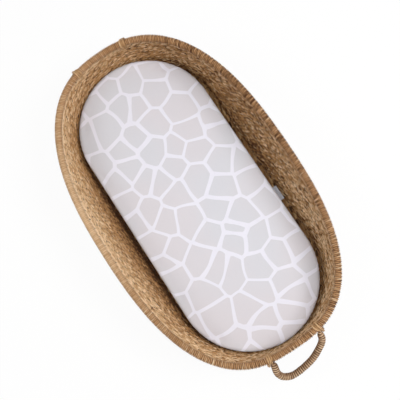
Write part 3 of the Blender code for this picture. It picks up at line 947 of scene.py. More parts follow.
@dataclass
class WovenFloor:
    """The twined floor: rows that run round and round to the middle, over flat stakes."""

    outer: float = 0.1695
    row_pitch: float = 0.01169
    middle: float = 0.006
    bands: tuple[int, ...] = (0, 6, 15)
    seed: int = 17
    steps: int = 4
    weave_depth: float = 0.0031
    weave_rise: float = 0.00112
    strand_apart: float = 0.0030
    strand_pinch: float = 0.3
    strand_half_width: float = 0.0029
    strand_half_depth: float = 0.0024
    unevenness: float = 0.08
    width_period: int = 9
    tone: float = 0.46
    tone_wander: float = 0.08
    tone_period: int = 50
    stakes: int = 124
    stake_pitch: float = 0.0165
    stake_half_width: float = 0.0042
    stake_half_depth: float = 0.0011
    stake_places: int = 6
    stake_end: float = 0.004
    stake_tone: float = 0.4

    def _ring(self, radius: float) -> tuple[Array, Array, Array]:
        """An oval row.

        Args:
            radius: How far it lies from the floor's middle line.

        Returns:
            Its places, the way out at each, and where each lies, counted in stakes.
        """
        straight = 2 * FORM.straight
        length = 2 * straight + 2 * math.pi * radius
        stakes = 2 * round(length / self.stake_pitch / 2)
        count = stakes * self.steps
        run = np.arange(count) / count * length
        half = straight + math.pi * radius
        side = np.where(run < half, 1.0, -1.0)
        within = run % half
        turn = np.clip((within - straight) / radius, 0.0, math.pi)
        x = side * (np.clip(within, 0, straight) - FORM.straight + radius * np.sin(turn))
        y = side * -radius * np.cos(turn)
        out = np.stack([side * np.sin(turn), side * -np.cos(turn), np.zeros(count)], axis=1)
        path = np.stack([x, y, np.full(count, self.middle)], axis=1)
        return path, out, np.arange(count) / self.steps

    def _add_row(self, strands: Strands, row: int, jitter: np.random.Generator) -> None:
        """Adds both strands of a row, each of two blades."""
        path, out, place = self._ring(self.outer - self.row_pitch * row)
        count = len(path)
        upward = np.broadcast_to([0.0, 0.0, 1.0], path.shape)
        for strand in range(2):
            phase = math.pi * (place + strand)
            swing, lift = np.cos(phase), np.sin(phase)
            for side in (-1, 1):
                narrowed = 1 - self.strand_pinch + self.strand_pinch * np.abs(swing)
                aside = self.weave_rise * lift + side * self.strand_apart * narrowed
                depth = self.weave_depth * swing
                laid = path + aside[:, None] * out + depth[:, None] * upward
                tone = self.tone + dash_tones(jitter, place)
                tone = tone + self.tone_wander * slow_noise(jitter, count, self.tone_period)
                uneven = 1 + self.unevenness * slow_noise(jitter, count, self.width_period)
                width = self.strand_half_width * uneven
                tone = np.clip(tone, 0, 1)
                strands.add(laid, out, upward, width, self.strand_half_depth, tone, True)

    def build(self) -> list[bpy.types.Object]:
        """Makes the floor and returns its pieces."""
        jitter = np.random.default_rng(self.seed)
        material = Tan.FLOOR.value.material("floor_weave")
        pieces = []
        for low, high in zip(self.bands, self.bands[1:]):
            strands = Strands(f"floor_rows_{low + 1}_to_{high}", 6, self.seed + low)
            for row in range(low, high):
                self._add_row(strands, row, jitter)
            pieces.append(strands.build(material))
        ribs = Strands("floor_stakes", 6, self.seed + 99)
        path, out, _ = self._ring(self.outer)
        for index in np.linspace(0, len(path), self.stakes, endpoint=False).astype(int):
            reach = np.linspace(0.0, self.outer - self.stake_end, self.stake_places)[:, None]
            line = path[index] - reach * out[index]
            upward = np.broadcast_to([0.0, 0.0, 1.0], line.shape)
            across = np.cross(np.broadcast_to(out[index], line.shape), upward)
            size = self.stake_half_width, self.stake_half_depth
            ribs.add(line, across, upward, *size, self.stake_tone)
        pieces.append(ribs.build(Tan.STAKE.value.material("floor_stakes")))
        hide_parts("base_floor")
        for piece in pieces:
            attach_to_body(piece, "basket")
        return pieces


@dataclass
class WoundRim:
    """The rim: seagrass wound turn beside turn round the hoop."""

    turns: int = 520
    steps: int = 12
    seed: int = 23
    radius: float = 0.0071
    outward: float = 0.0009
    half_width: float = 0.00136
    half_depth: float = 0.0013
    filling: float = 0.0063
    filling_places: int = 256
    ring_places: int = 4096
    turn_jitter: float = 0.06
    sag: float = 0.0008
    sag_period: int = 420
    turn_swell: float = 0.012
    slow_swell: float = 0.015
    swell_period: int = 300
    width_jitter: float = 0.09
    tone: float = 0.28
    # Painted light: paler winding at the head's left.
    sun_tone: float = 0.46
    wear_tone: float = 0.18
    contrast: float = 0.5
    sun_calm: float = 0.75
    every_other: float = 0.06
    every_other_outside: float = 0.20

    def _tones(self, turn: Array, angle: Array, jitter: np.random.Generator) -> Array:
        """How light the winding is, with painted light at the head's left.

        Args:
            turn: How many turns lead up to each place.
            angle: The direction of each place.
            jitter: The random numbers to draw from.

        Returns:
            The tone at each place, from 0 to 1.
        """
        sun = FORM.sun(angle)
        outer = np.clip(np.sin(2 * math.pi * turn), 0, 1)
        striped = self.every_other + self.every_other_outside * outer
        striped = striped * np.cos(math.pi * np.floor(turn))
        # Painted light at the head's left, and real wear at the foot.
        tone = self.tone + self.sun_tone * sun + self.wear_tone * FORM.worn(angle)
        varied = dash_tones(jitter, turn, self.contrast) + striped
        # Less contrast under the painted light.
        return np.clip(tone + (1 - self.sun_calm * sun) * varied, 0, 1)

    def build(self) -> list[bpy.types.Object]:
        """Makes the rim's winding and the filling inside it."""
        jitter = np.random.default_rng(self.seed)
        count = self.turns * self.steps
        per_turn = jitter.normal(0.0, 1.0, (4, self.turns + 1))
        turn = np.arange(count) / self.steps
        fuzz = [np.interp(turn, np.arange(self.turns + 1), row) for row in per_turn]
        even = FORM.even_angles(self.ring_places)
        share = (turn + self.turn_jitter * fuzz[0]) / self.turns
        angle = np.interp(share, np.arange(self.ring_places + 1) / self.ring_places, even)
        height = FORM.rim_height(angle)
        centre = FORM.place(angle, height)
        centre[:, 2] += self.sag * slow_noise(jitter, count, self.sag_period)
        out, up = FORM.axes(angle, height)
        spin = 2 * math.pi * turn
        face = np.cos(spin)[:, None] * up + np.sin(spin)[:, None] * out
        swell = self.slow_swell * slow_noise(jitter, count, self.swell_period)
        radius = self.radius * (1 + self.turn_swell * fuzz[1] + swell)
        path = centre + self.outward * out + radius[:, None] * face
        across, face = upright_frames(path, face)
        width = self.half_width * (1 + self.width_jitter * np.clip(fuzz[2], -2, 2))
        rim = Strands("rim_winding", 6, self.seed)
        rim.add(path, across, face, width, self.half_depth, self._tones(turn, angle, jitter), True)
        filler = Strands("rim_filling", 10, self.seed + 1)
        ring = FORM.even_angles(self.filling_places)[:-1]
        middle = FORM.place(ring, FORM.rim_height(ring))
        out, up = FORM.axes(ring, FORM.rim_height(ring))
        middle += self.outward * out
        # Painted shade: the filling is dark where it shows between the turns, and paler at the
        # head's left as painted light.
        shaded = np.clip(0.8 * FORM.sun(ring) - 0.25, 0, 1)
        filler.add(middle, up, out, self.filling, self.filling, shaded, True)
        pieces = [
            rim.build(Tan.RIM.value.material("rim_seagrass")),
            filler.build(Tan.RIM.value.material("rim_filling")),
        ]
        for piece, node, slot in zip(pieces, ("rim_wrap", "rim_hoop"), ("rim_seagrass", "cane")):
            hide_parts(node)
            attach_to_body(piece, "basket")
        return pieces


# Handles


class End(Enum):
    """The basket's two ends, each with the way to it along X."""

    FOOT = 1
    HEAD = -1

    @property
    def joint_at(self) -> Vector:
        """The middle of the handle's joint axis."""
        joint = next(j for j in frame["joints"] if j["child"] == self.handle)
        return Vector(joint["pos_m"])

    @property
    def handle(self) -> str:
        """The body of the handle at this end."""
        return f"{self.name.lower()}_handle"


@dataclass
class RopeHandle:
    """A handle: a rope wound turn beside turn, on two bent ends that turn in their lashings."""

    end: End
    half_span: float = 0.0585
    aside: float = 0.0035
    depth: float = 0.054
    rope_radius: float = 0.0065
    neck_radius: float = 0.0029
    swell_from: float = 0.0115
    swell_over: float = 0.0095
    turns: int = 86
    steps: int = 14
    half_width: float = 0.0012
    half_depth: float = 0.0014
    width_jitter: float = 0.08
    radius_jitter: float = 0.02
    neck_gap: float = 0.0012
    rope_gap: float = 0.0019
    core_step: int = 6
    core_tone: float = 0.30
    tone: float = 0.56
    every_other: float = 0.34
    contrast: float = 0.45
    # Painted shade on the winding towards the rope's inner and outer edges.
    soil_inside: float = 0.40
    soil_outside: float = 0.16
    stub: float = 0.0075
    bend: float = 0.005
    knot_places: int = 12
    bend_places: int = 5
    smoothing: int = 12
    foot_droop: float = 25.0
    head_droop: float = 80.0
    across_shares: tuple[float, ...] = (
        -1.0, -1.03, -1.07, -1.04, -0.93, -0.66, -0.21, 0.32, 0.77, 0.93, 0.99, 1.0,
    )
    depth_shares: tuple[float, ...] = (
        0.092, 0.27, 0.49, 0.68, 0.85, 1.0, 0.985, 0.85, 0.57, 0.41, 0.25, 0.092,
    )

    def axes(self) -> Matrix:
        """The handle's own axes: X out along its depth and Y along its joint."""
        droop = self.foot_droop if self.end is End.FOOT else self.head_droop
        facing = 0.0 if self.end is End.FOOT else math.pi
        turned = Matrix.Rotation(math.radians(droop), 4, "Y")
        return Matrix.Translation(self.end.joint_at) @ Matrix.Rotation(facing, 4, "Z") @ turned

    def route(self, count: int) -> Array:
        """The rope's middle line in the handle's own axes.

        Args:
            count: How many places are wanted.

        Returns:
            Evenly spaced places, from the left stub to the right one.
        """
        outer = self.half_span + self.bend
        shares = zip(self.depth_shares, self.across_shares)
        knots = np.array([(self.depth * deep, self.half_span * side) for deep, side in shares])
        knots = np.vstack([2 * knots[0] - knots[1], knots, 2 * knots[-1] - knots[-2]])
        t = np.linspace(0, 1, self.knot_places, endpoint=False)[:, None]
        curve = []
        for a, b, c, d in zip(knots, knots[1:], knots[2:], knots[3:]):
            bend = a - 2.5 * b + 2 * c - 0.5 * d
            twist = (d - a) / 2 + 1.5 * (b - c)
            curve.append(b + t * (c - a) / 2 + t**2 * bend + t**3 * twist)
        turn = np.linspace(0, math.pi / 2, self.bend_places, endpoint=False)
        corner = np.stack([self.bend * (1 - np.cos(turn)), self.bend * np.sin(turn)], axis=1)
        left = np.stack([corner[:, 0], corner[:, 1] - outer], axis=1)
        left = np.vstack([[0.0, -outer - self.stub], left])
        right = left[::-1] * (1, -1)
        flat = np.vstack([left, *curve, knots[-2:-1], right]) + (0.0, self.aside)
        run = run_along(flat)
        even = np.linspace(0, run[-1], count)
        route = np.stack([np.interp(even, run, flat[:, i]) for i in (0, 1)] + [even * 0], axis=1)
        for _ in range(self.smoothing):
            route[1:-1] = route[:-2] / 4 + route[1:-1] / 2 + route[2:] / 4
        return route

    def _swell(self, route: Array) -> Array:
        """How full the rope is along its route: 0 in the lashings and 1 past them."""
        run = run_along(route)
        from_end = np.minimum(run, run[-1] - run)
        return eased(np.clip((from_end - self.swell_from) / self.swell_over, 0, 1))

    def build(self) -> list[bpy.types.Object]:
        """Makes the winding and the rope inside it."""
        jitter = np.random.default_rng(31 + self.end.value)
        count = self.turns * self.steps
        route = self.route(count)
        swell = self._swell(route)
        radius = self.neck_radius + (self.rope_radius - self.neck_radius) * swell
        normal = np.array([0.0, 0.0, 1.0])
        sideways = np.cross(unit(np.gradient(route, axis=0)), normal)
        turn = np.arange(count) / self.steps
        outward, upward = np.cos(2 * math.pi * turn), np.sin(2 * math.pi * turn)
        face = outward[:, None] * sideways + upward[:, None] * normal
        fuzz = jitter.normal(0.0, 1.0, (2, self.turns + 1))
        rough = [np.interp(turn, np.arange(self.turns + 1), row) for row in fuzz]
        path = route + (radius * (1 + self.radius_jitter * rough[0]))[:, None] * face
        across, face = upright_frames(path, face)
        width = self.half_width * (1 + self.width_jitter * np.clip(rough[1], -2, 2))
        striped = self.every_other * np.cos(math.pi * np.floor(turn))
        # Painted shade: darker towards the inner and outer edges of the handle's loop, most on the
        # inner one.
        shade_taken = np.where(outward < 0, -self.soil_inside, self.soil_outside) * outward
        tone = self.tone - shade_taken + striped + dash_tones(jitter, turn, self.contrast)
        winding = Strands(f"{self.end.handle}_winding", 6, 41 + self.end.value)
        winding.add(path, across, face, width, self.half_depth, np.clip(tone, 0, 1))
        core = Strands(f"{self.end.handle}_rope", 12, 43 + self.end.value)
        thin = slice(None, None, self.core_step)
        plain = np.broadcast_to(normal, route[thin].shape)
        gap = self.neck_gap + (self.rope_gap - self.neck_gap) * swell[thin]
        inner = radius[thin] - gap
        # Painted shade: the rope under the winding is darkest where it is full, so the gaps between
        # the turns read dark.
        shaded = self.core_tone * (1 - swell[thin])
        core.add(route[thin], sideways[thin], plain, inner, inner, shaded)
        finish = Tan.ROPE.value
        pieces = [
            winding.build(finish.material(f"{self.end.handle}_winding")),
            core.build(finish.material(f"{self.end.handle}_rope")),
        ]
        for piece, part, slot in zip(pieces, ("wrap", "core"), ("rope_wrap", "rope_core")):
            piece.data.transform(self.axes())
            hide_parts(f"{self.end.handle}_{part}")
            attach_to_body(piece, self.end.handle)
        return pieces


@dataclass
class Lashing:
    """Light strands that hold one leg of a handle to the rim and cross over it."""

    end: End
    side: int
    turns: int = 3
    per_turn: int = 40
    half_width: float = 0.0014
    half_depth: float = 0.0013
    taper: float = 0.5
    tone: float = 0.66
    contrast: float = 0.6
    rim_radius: float = 0.0103
    stub_radius: float = 0.0052
    handle_aside: float = 0.0035
    rim_from: float = 0.0520
    rim_spread: float = 0.0130
    stub_from: float = 0.0652
    stub_spread: float = 0.0048
    crossing: float = 0.30
    rim_places: int = 17
    stub_places: int = 11
    end_half_angle: float = 0.6
    end_places: int = 400

    @property
    def name(self) -> str:
        """The name of the CAD node that the lashing stands for."""
        return f"{self.end.name.lower()}_lashing_{'right' if self.side > 0 else 'left'}"

    def _belt(self, rim: Array, stub: Array, share: float) -> Array:
        """A place on a tight belt round the rim and the handle's stub.

        Args:
            rim: The rim's middle on this slice, along X and Z.
            stub: The stub's middle, likewise.
            share: How far round the belt the place lies, from 0 to 1.

        Returns:
            The place, along X and Z.
        """
        apart = stub - rim
        heading = math.atan2(apart[1], apart[0])
        half = math.acos((self.rim_radius - self.stub_radius) / np.linalg.norm(apart))
        far = 2 * math.pi - half
        over = heading + np.linspace(half, far, self.rim_places)
        under = heading + np.linspace(-half, half, self.stub_places)
        top = rim + self.rim_radius * np.stack([np.cos(over), np.sin(over)], axis=1)
        low = stub + self.stub_radius * np.stack([np.cos(under), np.sin(under)], axis=1)
        belt = np.vstack([top, low, top[:1]])
        run = run_along(belt)
        return np.array([np.interp(share * run[-1], run, belt[:, i]) for i in (0, 1)])

    def build(self) -> list[bpy.types.Object]:
        """Makes the lashing and returns it in a list."""
        pivot = np.array(self.end.joint_at)
        facing = self.end.value
        fine = np.linspace(-self.end_half_angle, self.end_half_angle, self.end_places)
        fine = fine + (0.0 if self.end is End.FOOT else math.pi)
        rim = FORM.place(fine, FORM.rim_height(fine))
        rim = rim[np.argsort(rim[:, 1])]
        jitter = np.random.default_rng(60 + self.side + 3 * facing)
        turn = np.arange(self.turns * self.per_turn + 1) / self.per_turn
        # The strands lean in towards the leg where they cross the rim.
        over = (1 + np.cos(2 * math.pi * (turn - self.crossing))) / 2
        share = turn / self.turns
        on_rim = self.rim_from + self.rim_spread * share
        on_stub = self.stub_from + self.stub_spread * share
        across_y = self.side * (on_stub + (on_rim - on_stub) * over) + facing * self.handle_aside
        stub = np.array([facing * pivot[0], pivot[2]])
        path = []
        for y, place in zip(across_y, turn % 1.0):
            slice_rim = np.array([np.interp(y, rim[:, 1], rim[:, i]) for i in (0, 2)])
            slice_rim[0] = facing * slice_rim[0]
            x, z = self._belt(slice_rim, stub, place)
            path.append((facing * x, y, z))
        path = np.array(path)
        middle = path[: self.per_turn].mean(0)
        face = unit((path - middle) * (1.0, 0.0, 1.0))
        across, face = upright_frames(path, face)
        tone = np.clip(self.tone + dash_tones(jitter, turn, self.contrast), 0, 1)
        bundle = Strands(f"{self.name}_strands", 6, 51)
        width = self.half_width * (1 - self.taper + self.taper * over)
        bundle.add(path, across, face, width, self.half_depth, tone)
        piece = bundle.build(Tan.LASHING.value.material(f"{self.name}_seagrass"))
        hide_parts(self.name)
        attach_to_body(piece, "basket")
        return [piece]


# Mattress


@dataclass
class Folds:
    """The small folds, tucks and swells of the fitted sheet."""

    count: int = 26
    lengths: tuple[float, float] = (0.010, 0.034)
    slant: float = 1.2
    depth: float = 0.0007
    side_share: float = 0.25
    start_below: float = 0.006
    grow_over: float = 0.026
    inner: float = 0.05
    inner_over: float = 0.03
    end_before: float = 0.03
    end_over: float = 0.08
    tuck_at: float = -26.0
    tuck_spread: float = 8.0
    tuck_reach: float = 0.0038
    tuck_depth: float = 0.0020
    swells: int = 14
    swell_lengths: tuple[float, float] = (0.09, 0.30)
    swell_depth: float = 0.00035

    def moves(
        self,
        mattress: "Mattress",
        points: Array,
        reach: Array,
        edge: Array,
        chance: np.random.Generator,
    ) -> tuple[Array, Array]:
        """How far each point of the sheet moves.

        Args:
            mattress: The mattress that wears the sheet.
            points: The sheet's points.
            reach: How far out from the mattress's middle line each one is.
            edge: How far round the edge each one is.
            chance: The random numbers to draw from.

        Returns:
            How far each point moves out, and how far it moves up.
        """
        below = np.clip((mattress.high - self.start_below - points[:, 2]) / self.grow_over, 0, 1)
        outer = np.clip((reach - mattress.radius + self.inner) / self.inner_over, 0, 1)
        past = np.abs(points[:, 0]) - mattress.straight
        ends = np.clip((past + self.end_before) / self.end_over, 0, 1)
        folds = np.zeros(len(points))
        for _ in range(self.count):
            length = chance.uniform(*self.lengths)
            start = chance.uniform(0.0, 2 * math.pi)
            slant = chance.uniform(-self.slant, self.slant)
            folds += np.sin(2 * math.pi * (edge + slant * points[:, 2]) / length + start)
        folds /= math.sqrt(self.count)
        deep = self.depth * (self.side_share + (1 - self.side_share) * ends) * below * outer
        # At the foot the left corner's cloth is slack, and stands out in small tucks.
        turn = np.degrees(np.arctan2(points[:, 1], points[:, 0]))
        slack = np.exp(-(((turn - self.tuck_at) / self.tuck_spread) ** 2)) * below * outer
        moved = folds * deep + slack * (self.tuck_reach + self.tuck_depth * folds)
        wide = np.zeros(len(points))
        for _ in range(self.swells):
            heading = chance.uniform(0, 2 * math.pi)
            length = chance.uniform(*self.swell_lengths)
            start = chance.uniform(0.0, 2 * math.pi)
            along = points[:, 0] * math.cos(heading) + points[:, 1] * math.sin(heading)
            wide += np.sin(2 * math.pi * along / length + start)
        top = (points[:, 2] - mattress.high + self.start_below) / self.start_below
        lifted = (wide / math.sqrt(self.swells) - 1.0) * self.swell_depth * np.clip(top, 0, 1)
        return moved, lifted


@dataclass
class Tag:
    """The bare tag: a folded tape that stands out of the mattress's side seam."""

    columns: int = 12
    rows: int = 8
    curl: float = 0.0022
    curl_turn: float = 2.0
    curl_start: float = 0.6
    half_thickness: float = 0.0004
    round_power: float = 6.0
    round_least: float = 0.04
    sharp_from: float = 50.0
    finish: Tape = Tape("label_tape", linear(196, 197, 207))

    def _layer(self, bm: bmesh.types.BMesh, way: int) -> list[list[bmesh.types.BMVert]]:
        """Adds the points of one side of the tape.

        Args:
            bm: The mesh at work.
            way: 1 for the upper side and -1 for the lower one.

        Returns:
            The points, row by row from the seam out.
        """
        low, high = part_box("side_label")
        layer = []
        for row in range(self.rows + 1):
            out = row / self.rows
            thick = self.half_thickness * math.sqrt(max(1 - out**self.round_power, self.round_least))
            line = []
            for column in range(self.columns + 1):
                share = column / self.columns
                bent = self.curl * math.sin(self.curl_turn * share + self.curl_start) * out**2
                x = low.x + (high.x - low.x) * share
                y = low.y + (high.y - low.y) * out
                line.append(bm.verts.new((x, y, (low.z + high.z) / 2 + bent + way * thick)))
            layer.append(line)
        return layer

    def build(self) -> bpy.types.Object:
        """Makes the tag and returns it."""
        rows, columns = self.rows, self.columns
        bm = bmesh.new()
        under, over = self._layer(bm, -1), self._layer(bm, 1)
        for layer in (under, over):
            for line, after in zip(layer, layer[1:]):
                for column in range(columns):
                    bm.faces.new((line[column], line[column + 1], after[column + 1], after[column]))
        outline = [(row, 0) for row in range(rows)]
        outline += [(rows, column) for column in range(columns)]
        outline += [(row, columns) for row in range(rows, 0, -1)]
        outline += [(0, column) for column in range(columns, 0, -1)]
        for (row, column), (to_row, to_column) in zip(outline, outline[1:] + outline[:1]):
            corners = under[row][column], under[to_row][to_column]
            bm.faces.new((*corners, over[to_row][to_column], over[row][column]))
        bmesh.ops.recalc_face_normals(bm, faces=bm.faces)
        tag = meshed("side_tag", bm)
        tag.data.set_sharp_from_angle(angle=math.radians(self.sharp_from))
        tag.data.materials.append(self.finish.material("grey_blue_tape"))
        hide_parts("side_label")
        return tag


@dataclass
class Mattress:
    """The mattress: foam in a smooth cover, in a fitted sheet with a print, and a bare tag."""

    radius: float = 0.1628
    straight: float = 0.2065
    aside: float = -0.003
    low: float = 0.0123
    high: float = 0.062
    top: float = 0.0649
    crown: float = 0.0029
    top_corner: float = 0.0045
    bottom_corner: float = 0.008
    ring_points: int = 96
    bottom_places: int = 4
    top_places: int = 6
    crown_places: int = 8
    crown_reach: float = 0.9
    cover_inset: float = 0.0038
    cover_under: float = 0.0016
    cover_corner: float = 0.012
    fill: float = 0.9
    sheet_inset: float = 0.003
    voxel: float = 0.004
    steps: int = 20
    pressure: float = 3.0
    tension: float = 12.0
    bending: float = 0.6
    most_move: float = 0.0035
    resting: float = 0.006
    top_zone: float = 0.022
    low_zone: float = 0.014
    edge_power: float = 6.0
    side_half: float = 0.019
    side_zone: float = 0.01
    side_slack: float = 0.0012
    turn_under: float = 0.050
    under_zone: float = 0.002
    open_zone: float = 0.004
    cloth: float = 0.0010
    flat_cut: tuple[float, float] = (0.52, 0.93)
    flat_area: float = 0.40
    hem_inset: float = 0.0030
    hem_rise: float = 0.0007
    hem_half_width: float = 0.0032
    hem_half_depth: float = 0.0006
    hem_ripple: float = 0.0007
    hem_ripple_length: float = 0.0062
    hem_points: int = 500
    seed: int = 71

    def _stadium(self, radius: float, height: float, count: int) -> list[Vector]:
        """A level ring with round ends."""
        half = count // 2
        ring = []
        for end in (1, -1):
            for step in range(half):
                turn = math.pi * (step / (half - 1) - 1 / 2)
                x = end * (self.straight + radius * math.cos(turn))
                ring.append(Vector((x, self.aside + end * radius * math.sin(turn), height)))
        return ring

    def _pad(self, name: str, inset: float, under: float, corner: float) -> bpy.types.Object:
        """A closed pad with rounded edges and a crown.

        Args:
            name: Its name.
            inset: How far it lies inside the mattress's outside at its sides and its top.
            under: How far it lies inside it at its underside.
            corner: The radius of its upper edge.

        Returns:
            The pad.
        """
        radius = self.radius - inset
        high = self.high - inset
        rings = []
        for step in range(self.bottom_places + 1):
            turn = math.pi / 2 * step / self.bottom_places
            out = radius - self.bottom_corner * (1 - math.sin(turn))
            rings.append((out, self.low + under + self.bottom_corner * (1 - math.cos(turn))))
        for step in range(self.top_places + 1):
            turn = math.pi / 2 * step / self.top_places
            out = radius - corner * (1 - math.cos(turn))
            rings.append((out, high - corner * (1 - math.sin(turn))))
        for step in range(1, self.crown_places + 1):
            share = step / self.crown_places * self.crown_reach
            rise = self.crown * math.sin(math.pi / 2 * share)
            rings.append(((radius - corner) * (1 - share), high + rise))
        bm = bmesh.new()
        rows = []
        for out, height in rings:
            ring = self._stadium(out, height, self.ring_points)
            rows.append([bm.verts.new(point) for point in ring])
        for row, other in zip(rows, rows[1:]):
            for step in range(len(row)):
                after = (step + 1) % len(row)
                bm.faces.new((row[step], row[after], other[after], other[step]))
        bm.faces.new(rows[0][::-1])
        bm.faces.new(rows[-1])
        bmesh.ops.recalc_face_normals(bm, faces=bm.faces)
        return meshed(name, bm)

    def _points(self, piece: bpy.types.Object) -> Array:
        """The places of a mesh's points."""
        found = np.empty(len(piece.data.vertices) * 3, np.float32)
        piece.data.vertices.foreach_get("co", found)
        return found.reshape(-1, 3).astype(float)

    def _move(self, piece: bpy.types.Object, points: Array) -> None:
        """Puts a mesh's points in new places."""
        piece.data.vertices.foreach_set("co", points.astype(np.float32).ravel())
        piece.data.update()

    def _apply(self, piece: bpy.types.Object) -> None:
        """Bakes a piece's modifiers into its mesh."""
        graph = bpy.context.evaluated_depsgraph_get()
        mesh = bpy.data.meshes.new_from_object(piece.evaluated_get(graph))
        piece.modifiers.clear()
        piece.data = mesh

    def _simulate(self, piece: bpy.types.Object) -> None:
        """Lets the cloth swell over the foam, and keeps each point near where it was."""
        before = self._points(piece)
        cloth = piece.modifiers.new("cloth", "CLOTH")
        cloth.settings.use_pressure = True
        cloth.settings.uniform_pressure_force = self.pressure
        cloth.settings.tension_stiffness = self.tension
        cloth.settings.bending_stiffness = self.bending
        cloth.settings.effector_weights.gravity = 0.0
        cloth.point_cache.frame_end = self.steps
        for step in range(1, self.steps + 1):
            bpy.context.scene.frame_set(step)
        self._apply(piece)
        bpy.context.scene.frame_set(1)
        moved = self._points(piece) - before
        size = np.linalg.norm(moved, axis=1, keepdims=True)
        moved *= np.minimum(1.0, self.most_move / np.maximum(size, TINY))
        moved[:, 2] = np.where(before[:, 2] < self.low + self.resting, 0.0, moved[:, 2])
        self._move(piece, before + moved)

    def _fit(self, piece: bpy.types.Object) -> None:
        """Scales the cloth to the mattress's outside."""
        points = self._points(piece)
        low, high = points.min(0), points.max(0)
        length, width = self.straight + self.radius, self.radius
        wanted_low = np.array([-length, self.aside - width, self.low])
        wanted_high = np.array([length, self.aside + width, self.top])
        share = (points - low) / (high - low)
        self._move(piece, wanted_low + share * (wanted_high - wanted_low))

    def _tighten(self, piece: bpy.types.Object) -> None:
        """Draws the cloth tight over the pad's edges, which squares their curves."""
        points = self._points(piece)
        for edge, way, zone in ((self.high, 1, self.top_zone), (self.low, -1, self.low_zone)):
            away, reach, _ = self._around(points)
            across = np.maximum((reach - self.radius) / zone + 1, 0)
            rise = np.maximum((points[:, 2] - edge) * way / zone + 1, 0)
            power = self.edge_power
            squared = (across**power + rise**power) ** (1 / power)
            grow = np.hypot(across, rise) / np.maximum(squared, TINY) - 1
            grow = zone * np.where(np.minimum(across, rise) > 0, grow, 0.0)
            points += (grow * across)[:, None] * away
            points[:, 2] += grow * rise * way
        away, reach, _ = self._around(points)
        upright = np.abs(points[:, 2] - (self.low + self.high) / 2) < self.side_half
        upright &= reach > self.radius - self.side_zone
        slack = np.clip(self.radius - self.side_slack - reach, 0, self.most_move)
        points += np.where(upright, slack, 0.0)[:, None] * away
        self._move(piece, points)

    def _around(self, points: Array) -> tuple[Array, Array, Array]:
        """Where points lie on the mattress.

        Args:
            points: The points.

        Returns:
            The way out from the middle line, how far out they are, and how far round the edge.
        """
        middle = np.zeros_like(points)
        middle[:, 0] = np.clip(points[:, 0], -self.straight, self.straight)
        middle[:, 1] = self.aside
        away = points - middle
        away[:, 2] = 0.0
        reach = np.linalg.norm(away, axis=1)
        away = unit(away)
        turn = np.arctan2(away[:, 1], away[:, 0])
        end = points[:, 0] > 0
        bend = np.where(end, turn, np.pi - np.abs(turn)) * np.where(end, 1, np.sign(turn))
        round_end = np.abs(points[:, 0]) > self.straight
        far = np.where(end, 0.0, 2.0)
        edge = np.where(round_end, bend * self.radius + far, points[:, 0] + 5 * away[:, 1])
        return away, reach, edge

    def _gather(self, piece: bpy.types.Object) -> None:
        """Draws small folds into the sheet's side, and lets it stand out at one corner."""
        points = self._points(piece)
        away, reach, edge = self._around(points)
        chance = np.random.default_rng(self.seed)
        moved, lifted = Folds().moves(self, points, reach, edge, chance)
        points += moved[:, None] * away
        points[:, 2] += lifted
        self._move(piece, points)

    def _lay_cloth(self, piece: bpy.types.Object) -> None:
        """Gives each point its place on the flat cloth, so that the print runs over the edge."""
        points = self._points(piece)
        away, reach, _ = self._around(points)
        drop = np.maximum(self.high - points[:, 2], 0.0)
        under = points[:, 2] < self.low + self.under_zone
        turned = self.turn_under + (self.radius - reach) * 2
        flat = points + away * np.where(under, turned, drop)[:, None]
        flat[:, 2] = 0.0
        attach(piece.data, CLOTH, flat)

    def _open_below(self, piece: bpy.types.Object) -> None:
        """Takes away the middle of the underside, where the sheet ends in its hem."""
        bm = bmesh.new()
        bm.from_mesh(piece.data)
        inner = self.radius - self.turn_under
        gone = []
        for face in bm.faces:
            at = face.calc_center_median()
            x = abs(at.x) - min(abs(at.x), self.straight)
            if at.z < self.low + self.open_zone and math.hypot(x, at.y - self.aside) < inner:
                gone.append(face)
        bmesh.ops.delete(bm, geom=gone, context="FACES")
        bm.to_mesh(piece.data)
        bm.free()

    def _sheet(self) -> bpy.types.Object:
        """The fitted sheet over the pad, open below."""
        sheet = self._pad("printed_fitted_sheet", self.sheet_inset, 0.0, self.top_corner)
        remesh = sheet.modifiers.new("even", "REMESH")
        remesh.mode = "VOXEL"
        remesh.voxel_size = self.voxel
        self._apply(sheet)
        self._simulate(sheet)
        smooth = sheet.modifiers.new("smooth", "SMOOTH")
        smooth.factor = 0.5
        smooth.iterations = 2
        self._apply(sheet)
        self._fit(sheet)
        self._tighten(sheet)
        self._gather(sheet)
        self._lay_cloth(sheet)
        self._open_below(sheet)
        thick = sheet.modifiers.new("cloth", "SOLIDIFY")
        thick.thickness = self.cloth
        thick.offset = -1.0
        self._apply(sheet)
        sheet.data.materials.clear()
        sheet.data.materials.append(PrintedCotton().material("printed_cotton"))
        sheet.data.shade_smooth()
        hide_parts("fitted_sheet")
        return sheet

    def _cover(self) -> bpy.types.Object:
        """The foam in its wipe-clean cover, which shows where the sheet is open below."""
        size = self.cover_inset, self.cover_under, self.cover_corner
        cover = self._pad("wipe_clean_pad", *size)
        cover.data.materials.append(WipeClean().material("wipe_clean_cover"))
        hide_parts("foam_cover", "foam_core")
        return cover

